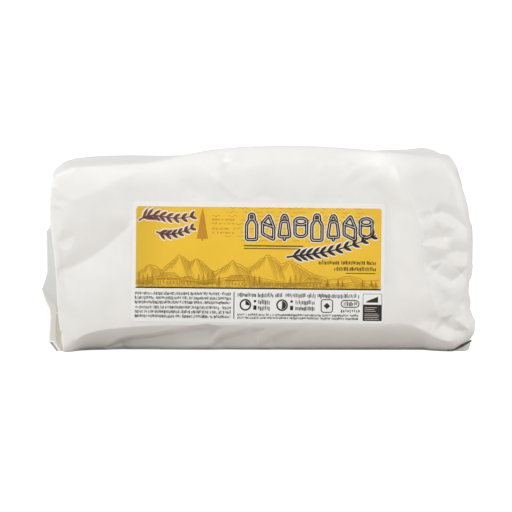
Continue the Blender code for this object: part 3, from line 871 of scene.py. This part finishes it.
def jagged(path, step, rough):
    """A path with small uneven teeth put in, as a rocky ridge has."""
    path = np.array(path, float)
    places = np.arange(path[0, 0], path[-1, 0], step)
    return np.stack([places, np.interp(places, *path.T) + random.normal(0, rough, len(places))], axis=1)


def fir(u, v, height):
    """A fir as a trunk with drooping boughs, drawn in thin strokes."""
    strokes = [stroke([(u, v), (u, v + height)], (0.5, 0.2))]
    for level in np.linspace(0.12, 0.92, 8):
        reach = 0.36 * height * (1.05 - level)
        bough = v + height * level
        for way in (-1, 1):
            tip = (u + way * reach, bough - 0.1 * reach)
            strokes.append(stroke([(u, bough + 0.06 * height), tip], (0.46, 0.2)))
    return strokes


def hatching(path, step, slant, low, share_lit, share_shaded):
    """Strokes down the slopes: long and close on the side away from the sun, short on the other."""
    u, v = (np.array(part, float) for part in zip(*path))
    strokes = []
    for at in np.arange(u[0] + 1, u[-1] - 1, step):
        top = np.interp(at, u, v)
        shaded_side = np.interp(at + 1, u, v) < top
        room = (top - low) * (share_shaded if shaded_side else share_lit) * random.uniform(0.55, 1.0)
        if room > 0.8:
            start = (at, top - random.uniform(0.3, 1.2))
            end = (at + slant * room * (1 if shaded_side else -1), start[1] - room)
            strokes.append(stroke([start, end], (0.34, 0.16)))
    return strokes


def farmhouse(u, v, width, height):
    """A low house with a gable, a wide roof and rows of windows."""
    eaves, ridge, end = v + 0.55 * height, v + height, u + width
    roof = [
        (u - 1, eaves - 0.2), (u + 0.22 * width, ridge), (u + 0.78 * width, ridge), (end + 1, eaves - 0.2),
    ]
    strokes = [stroke([(u, v), (u, eaves), (end, eaves), (end, v)], 0.34), ribbon(roof, 0.42, closed=True)]
    for place in np.arange(u + 1.2, end - 1, 1.9):
        strokes.append(stroke([(place, v + 0.14 * height), (place, v + 0.40 * height)], 0.62))
    for share in np.linspace(0.06, 0.94, int(width / 0.9)):
        top = (u + (0.22 + 0.56 * share) * width, ridge - 0.2)
        strokes.append(stroke([(u + share * width, eaves), top], 0.2))
    return strokes


def meadow(low, high, rows, thick):
    """Short level strokes that lie closer together towards the viewer, as mown grass is drawn."""
    strokes = []
    for row in range(rows):
        v = low + (high - low) * (row / rows) ** 1.5
        u = FIELD[0] + random.uniform(0.5, 3)
        while u < FIELD[2] - 4:
            length = random.uniform(1.5, 6)
            strokes.append(stroke([(u, v), (u + length, v + random.normal(0, 0.1))], (thick, thick * 0.5)))
            u += length + random.uniform(0.4, 2.5)
    return strokes


def thin_cloud(v):
    """A row of long wavy strokes across the sky."""
    strokes = []
    u = random.uniform(45, 62)
    while u < FIELD[2] - 8:
        length = random.uniform(3, 9)
        turns = np.linspace(0, length, 12)
        wave = 0.35 * np.sin(turns * random.uniform(1.6, 2.6)) + 0.05 * turns
        strokes.append(stroke(np.stack([u + turns, v + wave], axis=1), (0.22, 0.3, 0.16)))
        u += length + random.uniform(1.5, 6)
    return strokes


# %% The whole drawing
GROUND = 20.2
FARMHOUSES = ((15, 12, 7.5), (28.5, 7, 5.5), (54, 10, 6.5), (98, 9, 5.2))
FIRS = (
    4.2, 6.6, 9.0, 11.6, 38, 40.6, 43.2, 46, 49.5, 67, 69.6, 72.5, 90, 93, 95.6, 111, 117, 119.5,
    131, 136, 138.5,
)
engraving = [stroke(jagged(PEAKS, 1.6, 0.32), 0.42), stroke(jagged(HILLS, 2.2, 0.12), 0.36)]
engraving += hatching(PEAKS, 0.62, 0.35, 23.0, 0.45, 0.95) + hatching(HILLS, 0.62, 0.2, 20.0, 0.6, 0.9)
for u, width, height in FARMHOUSES:
    engraving += farmhouse(u, GROUND + 0.2, width, height)
for u in FIRS:
    engraving += fir(u, GROUND + random.uniform(0, 0.8), random.uniform(5.5, 9.5) * (1 if u < 100 else 0.55))
engraving += [stroke([(u, GROUND), (u, 23)], 0.34) for u in np.arange(74, 89, 1.5)]
engraving += [stroke([(73.4, v), (88.4, v)], 0.3) for v in (21.2, 22.3)]
engraving += meadow(GROUND, 23.4, 6, 0.3)
for v in np.arange(46.5, 65, 2.3):
    engraving += thin_cloud(v)
drawing = ink("engraving", ochre, engraving, 0.04)
print("engraving:", len(engraving), "strokes")

# %% [markdown]
# ## The frieze and the sprays
# The upper right of the label has a frieze of dairy things: churns, wedges, bells and wheels. Each is
# a line drawn three times, wide in white, narrower in dark ink, and a thin light line in its middle.
# The sprays of leaves have the same white edge.

# %% Paths for the frieze


def rounded_path(corners, radius):
    """A closed path with each of its corners cut by a small arc."""
    corners = [np.array(corner, float) for corner in corners]
    path = []
    for i, corner in enumerate(corners):
        to_before, to_after = corners[i - 1] - corner, corners[(i + 1) % len(corners)] - corner
        a = corner + to_before * min(radius / np.linalg.norm(to_before), 0.45)
        b = corner + to_after * min(radius / np.linalg.norm(to_after), 0.45)
        path += [(1 - t) ** 2 * a + 2 * t * (1 - t) * corner + t * t * b for t in np.linspace(0, 1, 6)]
    return path


def ring(middle_u, middle_v, half_u, half_v, start=0, end=360):
    """An oval path, or the part of it between two angles in degrees."""
    turns = np.radians(np.arange(start, end + 0.1 - 15 * (end - start == 360), 15))
    return [(middle_u + half_u * math.cos(a), middle_v + half_v * math.sin(a)) for a in turns]


# %% The frieze
churn_line = [(1, 0), (6.8, 0), (6.8, 8.8), (5.2, 11), (5.2, 14.3), (2.6, 14.3), (2.6, 11), (1, 8.8)]
churn = [(rounded_path(churn_line, 1.2), True), ([(2.7, 11.6), (5.1, 11.6)], False)]
wedge = [
    (rounded_path([(0.8, 3.4), (7.2, 0.2), (7.2, 7.2), (4.4, 13.8), (0.8, 9.6)], 0.9), True),
    ([(0.9, 9.4), (7.1, 7.2)], False),
]
bell = [
    (rounded_path([(0.8, 1.8), (7.2, 1.8), (5.9, 10.6), (2.1, 10.6)], 1.4), True),
    (ring(4, 11.4, 1.5, 2.6, 0, 180), False), ([(4, 1.7), (4, 0.2)], False),
]
wheel = [
    (ring(4, 10.6, 3.3, 1.9), True),
    ([(0.7, 10.6)] + ring(4, 4.2, 3.3, 2.2, 180, 360) + [(7.3, 10.6)], False),
]
FRIEZE_LEFT, FRIEZE_LOW, FRIEZE_PITCH = 63.8, 47.2, 9.25
FRIEZE_WHITE, FRIEZE_DARK, FRIEZE_LIGHT = 3.0, 2.0, 0.3
white_shapes, light_shapes = [], []
for place, motif in enumerate((churn, wedge, bell, wheel, churn, bell, wedge, wheel)):
    for path, closed in motif:
        path = [(FRIEZE_LEFT + place * FRIEZE_PITCH + p[0], FRIEZE_LOW + p[1]) for p in path]
        white_shapes.append(ribbon(path, FRIEZE_WHITE, closed))
        dark_shapes.append(ribbon(path, FRIEZE_DARK, closed))
        light_shapes.append(ribbon(path, FRIEZE_LIGHT, closed))


# %% The sprays of leaves
LEAF_HALF_WIDTH, LEAF_TURN = 0.85, 0.62
STEM_WIDTH, STEM_POINTS = 1.1, 24


def cubic(handles):
    """Points along a smooth cubic curve with four handles."""
    a, b, c, d = (np.array(handle, float) for handle in handles)
    t = np.linspace(0, 1, STEM_POINTS)[:, None]
    return (1 - t) ** 3 * a + 3 * t * (1 - t) ** 2 * b + 3 * t * t * (1 - t) * c + t**3 * d


def leaf(length, half_width):
    """A leaf along +u from the origin, pointed at both ends."""
    along = np.linspace(0.02, 0.98, 9)
    half = half_width * np.sin(math.pi * along) ** 0.8
    return band(along * length, -half * 0.9, half * 1.1)


def spray(handles, leaves, length, grow=0.0):
    """A stem with leaves to both sides; grow widens all of it, for the white edge round it."""
    stem_points = cubic(handles)
    shapes = [ribbon(stem_points, (STEM_WIDTH + grow, STEM_WIDTH * 0.5 + grow))]
    for place in range(leaves):
        at = 2 + int(place * (len(stem_points) - 4) / max(1, leaves - 1))
        way = stem_points[at + 1] - stem_points[at - 1]
        turn = math.atan2(way[1], way[0])
        for side in (-1, 1):
            size = length * (1 - 0.35 * place / leaves)
            root = stem_points[at] - grow / 2 * way / np.linalg.norm(way)
            blade = leaf(size + grow, LEAF_HALF_WIDTH + grow / 2)
            shapes.append(moved(blade, *root, turn + side * LEAF_TURN))
    return shapes


RIGHT_SPRAY = (((88, 37.5), (100, 39.5), (117, 39.5), (138, 50.5)), 11, 6.4)
LEFT_SPRAY = (((4.0, 57.5), (12, 64.5), (21, 55.5), (34.5, 60.5)), 8, 6.0)
LOW_SPRAY = (((14, 51), (20, 48.5), (27, 50), (34, 53.5)), 6, 5.0)
for one in (RIGHT_SPRAY, LEFT_SPRAY, LOW_SPRAY):
    white_shapes += spray(*one, grow=1.0)
dark_top = spray(*RIGHT_SPRAY)
brown_shapes = spray(*LEFT_SPRAY) + spray(*LOW_SPRAY)
ochre_shapes = [
    band(39.8 + np.array([-3.2, -2.2, -1.2, 0, 1.2, 2.2, 3.2]), [47.4] * 7, [47.7, 53, 60, 65, 60, 53, 47.7]),
    plate(39.3, 46.2, 40.3, 47.6, 0.1),
]

# %% [markdown]
# ## Gauges, frames and bars
# The white panel under the field has two round gauges, a framed diamond, a capsule, and a black
# block with a small wedge over it in its last corner. All of them are plates, rings and bars.

# %% The white panel


def slice_of(middle_u, middle_v, radius, share):
    """A slice of a disc, clockwise from the top."""
    turns = np.linspace(0, 2 * math.pi * share, 10)
    rim = [(middle_u + radius * math.sin(a), middle_v + radius * math.cos(a)) for a in turns]
    return np.array([(middle_u, middle_v)] + rim), [(0, i + 1, i) for i in range(1, len(rim))]


for middle_u, share in ((64.6, 0.28), (85.4, 0.52)):
    dark_shapes += [
        ribbon(ring(middle_u, 10.2, 2.9, 2.9), 0.85, closed=True), slice_of(middle_u, 10.2, 2.3, share),
        disc(middle_u + 5.4, 12.3, 0.75), plate(middle_u + 4.5, 7.4, middle_u + 6.3, 9.9, 0.3),
    ]
dark_shapes += [
    plate_edge(107.6, 6.4, 114.0, 13.6, 1.3, 0.5),
    moved(plate(-1.3, -1.3, 1.3, 1.3, 0.2), 110.8, 10.0, math.pi / 4),
    plate_edge(118.9, 9.4, 129.0, 13.3, 1.9, 0.5),
    plate(131.2, 1.7, 142.0, 10.9, 0.3),
    plate_edge(131.3, 10.9, 141.9, 17.1, 0.2, 0.22),
    band([133.2, 139.8], [12.2, 12.2], [12.9, 15.6]),
]
PANEL_BARS = ((9.2, 7.0), (8.2, 5.6), (7.2, 6.4), (5.6, 7.6), (4.6, 8.4), (3.6, 7.8), (2.6, 8.2))
light_shapes += [plate(132.2, v, 132.2 + width, v + 0.2, 0.08) for v, width in PANEL_BARS]
on_card = [
    field, drawing, ink("white_ink", white, white_shapes, 0.05), ink("dark_ink", dark, dark_shapes, 0.065),
    ink("dark_spray", dark, dark_top, 0.08), ink("brown_ink", brown, brown_shapes, 0.065),
    ink("light_lines", white, light_shapes, 0.08), ink("ochre_ink", orange, ochre_shapes, 0.045),
]
print("printed:", len(dark_shapes), "dark shapes and", len(white_shapes), "white ones")

# %% [markdown]
# ## Rows of small print
# The finest print on such a label looks like rows of small upright strokes with gaps, even from
# close by, so it is made of plain bars. They repeat along lines, which is what Geometry Nodes are
# for: points are set along each row at an even pitch, some are dropped for the gaps, and a bar of
# uneven width and height stands on each of the rest. The result is made into a plain mesh.

# %% A tree that sets bars along rows
BAR_SHARES = ((0.45, 1.0, "Bar width"), (0.6, 1.0, "Bar height"), (-0.16, 0.16, "Bar height"))


def row_curves(name, rows, height):
    """Rows of print as straight curves that lie on the label. Each row is (left, right, v)."""
    curve = bpy.data.curves.new(name, "CURVE")
    curve.dimensions = "3D"
    for left, right, v in rows:
        us = np.linspace(left, right, max(2, int((right - left) / LONGEST_STEP)))
        line = curve.splines.new("POLY")
        line.points.add(len(us) - 1)
        for point, place in zip(line.points, on_label(us, np.full(len(us), v), height)):
            point.co = (*place * MM, 1)
    return added(name, curve)


def build_print_tree():
    """Stands a bar of uneven size at each step along the rows, with gaps here and there."""
    tree = bpy.data.node_groups.new("rows of small print", "GeometryNodeTree")
    numbers = dict.fromkeys(("Pitch", "Bar width", "Bar height", "Thickness", "Gap share"), "Float")
    sockets = {"Geometry": "Geometry", **numbers, "Seed": "Int", "Material": "Material"}
    given, result = group_ends(tree, sockets, {"Geometry": "Geometry"})

    points = node(tree, "GeometryNodeCurveToPoints", mode="LENGTH")
    feed(tree, points, {"Curve": given["Geometry"], "Length": given["Pitch"]})
    gap = node(tree, "FunctionNodeRandomValue", data_type="BOOLEAN")
    feed(tree, gap, {"Probability": given["Gap share"], "Seed": given["Seed"]})
    rest = {"Geometry": points.outputs["Points"], "Selection": gap.outputs[3]}
    rest = node(tree, "GeometryNodeDeleteGeometry", rest)

    sizes = []
    for step, (low, high, socket) in enumerate(BAR_SHARES, 1):
        seed = node(tree, "ShaderNodeMath", {0: given["Seed"], 1: step}).outputs[0]
        draw = node(tree, "FunctionNodeRandomValue", {2: low, 3: high, "Seed": seed}).outputs[1]
        size = node(tree, "ShaderNodeMath", {0: draw, 1: given[socket]}, operation="MULTIPLY")
        sizes.append(size.outputs[0])
    width, height, shift = sizes
    scale = node(tree, "ShaderNodeCombineXYZ", {"X": width, "Y": given["Thickness"], "Z": height})
    lift = node(tree, "ShaderNodeCombineXYZ", {"Z": shift})

    places = {"Geometry": rest.outputs[0], "Offset": lift.outputs[0]}
    places = node(tree, "GeometryNodeSetPosition", places).outputs[0]
    bar = node(tree, "GeometryNodeMeshCube").outputs["Mesh"]
    bars = {"Points": places, "Instance": bar, "Scale": scale.outputs[0]}
    bars = node(tree, "GeometryNodeInstanceOnPoints", bars).outputs[0]
    real = node(tree, "GeometryNodeRealizeInstances", {"Geometry": bars}).outputs[0]
    paint = {"Geometry": real, "Material": given["Material"]}
    paint = node(tree, "GeometryNodeSetMaterial", paint).outputs[0]
    tree.links.new(paint, result["Geometry"])
    return tree


def baked(obj, tree, values, name):
    """Runs the tree on the object with named values and keeps the result as a plain mesh."""
    modifier = obj.modifiers.new("made by nodes", "NODES")
    modifier.node_group = tree
    for item in tree.interface.items_tree:
        if item.in_out == "INPUT" and item.name in values:
            modifier[item.identifier] = values[item.name]
    bpy.context.view_layer.update()
    graph = bpy.context.evaluated_depsgraph_get()
    data = bpy.data.meshes.new_from_object(obj.evaluated_get(graph))
    bpy.data.objects.remove(obj, do_unlink=True)
    data.name = name
    return added(name, data)


# %% [markdown]
# ## The loose flaps of the ends
# The ends of such a parcel are folded like an envelope, and the outermost flaps never lie quite
# flat. From the front they show as narrow strips past the fold line, each a thin slab of its own.
# Their paper is tinted darker than the rest, cool on two and warm on one: painted shade. A brighter
# white strip along their cut edges is a painted highlight, and the dark strips in the gaps behind
# the front panel and on the tucked corner are painted shadow and painted shade.

# %% Flaps
FLAP_THICKNESS, EDGE_THICKNESS = 0.25, 0.2
FULL_ROLL_TOP = 16
FLAP_DEPTH = ((0, 6.0), (20, 5.5), (40, 3.2), (72, 2.4), (110, 2.4))
LOWER_FLAP_CREASE = ((0, -111), (24.7, -111), (24.8, -114.0), (34.9, -122.5))
LEFT_INNER = ((0, -111),)
UPPER_FLAP = (
    (24.8, -114.3), (30, -118.8), (34.6, -122.2), (36, -122.8), (40, -121.2), (44.8, -119.9),
    (54, -120.1), (63.5, -120.3), (68.6, -120.5), (71.5, -118.0),
)
LOWER_FLAP = (
    (0.4, -112.7), (5.7, -116.6), (5.8, -119.2), (11, -118.9), (15, -118.6), (19.5, -118.2),
    (24.8, -118.8), (29.2, -121.0), (34.2, -122.5), (34.9, -122.6),
)
# The outline of a warm dark strip in the gap behind the left fold: painted shade.
LEFT_GAP_SHADE = ((0.4, -112.3), (3, -114.0), (8, -115.1), (15, -115.2), (22, -114.7), (27, -114.2))
# The tucked corner at the lower left is a dark sheet of painted shade.
TUCK_SHADE = ((0.3, -114.9), (5.8, -119.2))
LOW_RIGHT_FLAP = ((0.3, 118.3), (1.2, 119.8), (3.3, 120.7), (5.2, 120.9))
LOW_RIGHT_INNER = ((0.3, 111.0), (5.2, 120.5))
# A near-black strip laid where the lower right gap lies in shadow: painted shadow.
LOW_RIGHT_GAP_SHADOW = ((108.0, 0.7), (112.5, 1.7), (116.5, 3.6), (121.2, 6.2))


def flap_shape(edge, inner):
    """A strip between the flap's free edge and its inner line, both given as stations (z, x)."""
    z, x = (np.array(part) for part in zip(*edge))
    inner_x = np.interp(z, *zip(*inner))
    points, faces = band(z, np.minimum(x, inner_x), np.maximum(x, inner_x))
    return points[:, ::-1], faces


def on_end(x, z, height):
    """A place on the plane of an end's flaps, just behind the front panel's fold."""
    side = np.where(x < 0, LEFT, RIGHT)
    y = FRONT + front_setback(side, np.maximum(z, FULL_ROLL_TOP)) + smooth_line(FLAP_DEPTH, z) - height
    return np.stack([x, y, z], axis=1)


# The edge strips are whiter than the paper: a painted highlight along the cut edges.
lower_highlight_path = [(x + 0.4, z) for z, x in reversed(LOWER_FLAP[2:-1])] + [(-116.7, 5.9), (-112.7, 0.4)]
upper_highlight_path = [(x + 0.35, z) for z, x in UPPER_FLAP[5:]]
FLAPS = (
    ("left_flap_upper", paper_painted_shade, flap_shape(UPPER_FLAP, LEFT_INNER), 0.0, FLAP_THICKNESS),
    ("left_flap_lower", paper_warm_painted_shade, flap_shape(LOWER_FLAP, LOWER_FLAP_CREASE), 0.6, FLAP_THICKNESS),
    ("left_tuck_painted_shade", shade_on_tuck, flap_shape(TUCK_SHADE, LEFT_INNER), -0.6, FLAP_THICKNESS),
    ("right_flap_low", paper_cool_painted_shade, flap_shape(LOW_RIGHT_FLAP, LOW_RIGHT_INNER), 0.0, FLAP_THICKNESS),
    ("right_gap_painted_shadow", shadow_in_right_gap, ribbon(LOW_RIGHT_GAP_SHADOW, (0.8, 1.5, 1.6, 1.0)), 0.05, FLAP_THICKNESS),
    ("left_upper_edge_highlight", edge_painted_highlight, stroke(upper_highlight_path, 0.7), 0.04, EDGE_THICKNESS),
    ("left_lower_edge_highlight", edge_painted_highlight, stroke(lower_highlight_path, 0.9), 0.64, EDGE_THICKNESS),
    ("left_gap_painted_shade", shade_in_left_gap, flap_shape(LEFT_GAP_SHADE, LEFT_INNER), 0.62, EDGE_THICKNESS),
)
wrapping = [paper]
for name, material, shape, height, depth in FLAPS:
    wrapping.append(slabs(name, material, [shape], on_end, height, depth))
print(len(wrapping) - 1, "flaps, edges and gaps")

# %% [markdown]
# ## How the far sides are closed
# The photograph doesn't show the back and the two ends, so they are closed in the usual way of such
# a parcel. The sheet's long edges overlap down the back, and a flap that narrows to a straight free
# edge is folded over each end. Each is a thin slab, laid on the paper by the paper's own rule, so
# it follows every swelling below it.

# %% The overlap and the end flaps
SHEET_OFF, SHEET_DEPTH = 0.4, 0.36
OVERLAP_LOW, OVERLAP_TOP = 9.0, 58.0


def laid_on(axis, side, outward):
    """Gives the rule that lays (across, z) on one side of the block, that far off its paper."""

    def lay(across, z, height):
        box = np.stack([across, across, z], axis=1)
        box[:, axis] = side
        place = wrapped(box)
        place[:, axis] += outward * height
        return place

    return lay


def end_flap(free, root, free_heights, root_heights, sway):
    """A flap between its root along one edge of an end and its free edge, both given as y."""
    across = np.linspace(free, root, 14)
    low, high = (np.interp(across, (free, root), pair) for pair in zip(free_heights, root_heights))
    return band(across, low + sway * np.sin(across / 7), high + sway * np.sin(across / 9 + 1))


along = np.linspace(LEFT + 9, RIGHT - 16, 56)
upper_line = OVERLAP_TOP + 0.9 * np.sin(along / 17) + 0.4 * np.sin(along / 5)
CLOSURES = (
    ("back_overlap", band(along, np.full(len(along), OVERLAP_LOW), upper_line), (1, BACK, 1)),
    ("left_end_flap", end_flap(FRONT + 22, BACK - 5, (34, 78), (8, 100), 0.7), (0, LEFT, -1)),
    ("right_end_flap", end_flap(FRONT + 36, BACK - 11, (40, 68), (14, 98), 0.9), (0, RIGHT, 1)),
)
for name, shape, side in CLOSURES:
    wrapping.append(slabs(name, paper_white, [shape], laid_on(*side), SHEET_OFF, SHEET_DEPTH))
print(len(wrapping), "pieces of paper")

# %% [markdown]
# ## The rows in their places
# Each block of small print on a label has its own height and its own spacing. Each could have a
# tree of its own, but the blocks differ in numbers alone. So one tree is run over every block's
# rows, with that block's pitch, bar sizes, share of gaps and seed.

# %% Setting the rows
PRINT_HEIGHT, PRINT_THICKNESS = 0.03, 0.06
LINES = [(12.8 if v in (16.2, 8.3) else 2.2, 56, v) for v in (16.2, 13.7, 11.2, 8.3, 5.8, 3.2)]
DASHES = [(left, right, v + up) for left, right, v in LINES for up in (-0.62, 0.05, 0.66)]
GAUGE_ROWS = [(left, right, v) for left, right in ((72.2, 78), (93.3, 103.5)) for v in (11.8, 8.3)]
SETTINGS = ("Pitch", "Bar width", "Bar height", "Gap share", "Seed")
SMALL_PRINT = {
    "small_print": (LINES, (0.74, 0.5, 1.75, 0.13, 3)),
    "small_dashes": (DASHES, (1.28, 0.95, 0.3, 0.42, 8)),
    "first_words": ([(2.2, 11.6, v) for v in (16.2, 8.3)], (0.72, 0.42, 1.8, 0.0, 2)),
    "top_print": ([(60.3, 128.8, 15.7)], (0.82, 0.62, 2.5, 0.1, 7)),
    "finest_print": ([(60.3, 128.3, v) for v in (4.6, 2.8)], (0.6, 0.46, 1.35, 0.1, 5)),
    "plain_print": ([(119.2, 129, 7.2)], (1.1, 0.8, 1.8, 0.0, 5)),
    "title_print": ([(106.2, 138, 34.4), (114.9, 138, 30.9)], (0.9, 0.7, 2.6, 0.1, 6)),
    "gauge_print": (GAUGE_ROWS + [(120.6, 127.4, 11.35)], (0.9, 0.68, 2.6, 0.05, 9)),
    "ochre_print": ([(45.5, 57.5, v) for v in (58.4, 56.1, 53.2, 50.9)], (0.75, 0.5, 1.2, 0.14, 4)),
}
print_tree = build_print_tree()
for name, (rows, sizes) in SMALL_PRINT.items():
    values = {key: size if key in ("Gap share", "Seed") else size * MM for key, size in zip(SETTINGS, sizes)}
    values.update({"Thickness": PRINT_THICKNESS * MM, "Material": orange if name == "ochre_print" else dark})
    curves = row_curves(name + "_rows", rows, PRINT_HEIGHT)
    on_card.append(baked(curves, print_tree, values, "label_" + name))
    print(name, len(on_card[-1].data.polygons), "faces")

# %% [markdown]
# ## The camera
# A pack is pictured from nearly its own height and from far away, so that its edges stay level and
# nearly parallel. A camera without perspective would come close to that, but a long lens keeps the
# trace of it that a real picture has. The lens follows from the distance and the picture's width.

# %% The camera
ELEVATION = math.radians(4.5)
DISTANCE = 2.5
SENSOR = 36.0
PICTURE_WIDTH = 0.2918
PICTURE_MIDDLE = Vector((-0.00114, -0.0155, 0.05375 / math.cos(ELEVATION)))
eye = bpy.data.cameras.new("camera")
eye.sensor_width = SENSOR
eye.sensor_fit = "HORIZONTAL"
eye.lens = SENSOR * DISTANCE / PICTURE_WIDTH
eye.clip_start, eye.clip_end = 0.1, 100.0
camera = added("camera", eye)
away = Vector((0, -math.cos(ELEVATION), math.sin(ELEVATION)))
camera.location = PICTURE_MIDDLE + away * DISTANCE
camera.rotation_mode = "QUATERNION"
camera.rotation_quaternion = (-away).to_track_quat("-Z", "Y")
bpy.context.scene.camera = camera

# %% [markdown]
# ## The light and the floor
# White paper shows its folds only by soft shades, so a pack like this stands among large lamps and
# pale walls. One even sky would flatten it, and one small lamp would draw hard edges. So the world
# is darker overhead than at its sides, and three round lamps give the folds a direction. The floor
# looks white to the camera, but the light that it throws back on the paper is warmer and weaker.

# %% The light
bpy.context.scene.view_settings.view_transform = "Standard"
world = bpy.data.worlds.new("studio")
world.use_nodes = True
sky = world.node_tree
parts = node(sky, "ShaderNodeSeparateXYZ", {0: node(sky, "ShaderNodeTexCoord").outputs["Generated"]})
height = node(sky, "ShaderNodeMapRange", {"Value": parts.outputs["Z"]})
feed(sky, height, {"From Min": 0.3, "From Max": 0.9, "To Min": 0.79, "To Max": 0.34})
feed(sky, sky.nodes["Background"], {"Color": (1.0, 1.0, 1.0, 1), "Strength": height.outputs[0]})
bpy.context.scene.world = world


def soft_light(name, place, size, power):
    """A round soft lamp that points at the middle of the block."""
    lamp = bpy.data.lights.new(name, "AREA")
    lamp.shape = "DISK"
    lamp.size = size
    lamp.energy = power
    obj = added(name, lamp)
    obj.location = place
    obj.rotation_mode = "QUATERNION"
    obj.rotation_quaternion = (Vector((0, 0, 0.05)) - Vector(place)).to_track_quat("-Z", "Y")


soft_light("key", (-0.82, -1.52, 1.76), 1.0, 28)
soft_light("side", (-2.35, 0.0, 0.55), 1.1, 11.5)
soft_light("edge", (2.30, 0.0, 0.70), 2.4, 22)

# %% The floor
FLOOR_RADIUS = 30.0
mesh = bmesh.new()
bmesh.ops.create_circle(mesh, cap_ends=True, segments=64, radius=FLOOR_RADIUS)
data = bpy.data.meshes.new("floor")
mesh.to_mesh(data)
mesh.free()
floor_paint = bpy.data.materials.new("floor paint")
floor_paint.use_nodes = True
tree = floor_paint.node_tree
tree.nodes.clear()
bounced = node(tree, "ShaderNodeBsdfDiffuse", {"Color": (0.68, 0.645, 0.60, 1)}).outputs[0]
pale = node(tree, "ShaderNodeBsdfDiffuse", {"Color": (0.93, 0.93, 0.93, 1)}).outputs[0]
glow = node(tree, "ShaderNodeEmission", {"Strength": 0.6}).outputs[0]
seen = node(tree, "ShaderNodeAddShader", {0: pale, 1: glow}).outputs[0]
by_camera = node(tree, "ShaderNodeLightPath").outputs["Is Camera Ray"]
mix = node(tree, "ShaderNodeMixShader", {"Fac": by_camera, 1: bounced, 2: seen}).outputs[0]
node(tree, "ShaderNodeOutputMaterial", {"Surface": mix})
data.materials.append(floor_paint)
floor = added("floor", data)

# %% [markdown]
# ## Joining the pieces to the block
# Nothing on the pack moves on its own, so every piece rides on its one body. The finer paper stands
# in for the wrapped block and the card for the plain label. The rest is added to them.

# %% Every piece rides on the block
for piece in (*wrapping, card, *on_card):
    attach(piece, "root")
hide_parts("wrapped_cheese")
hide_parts("label")
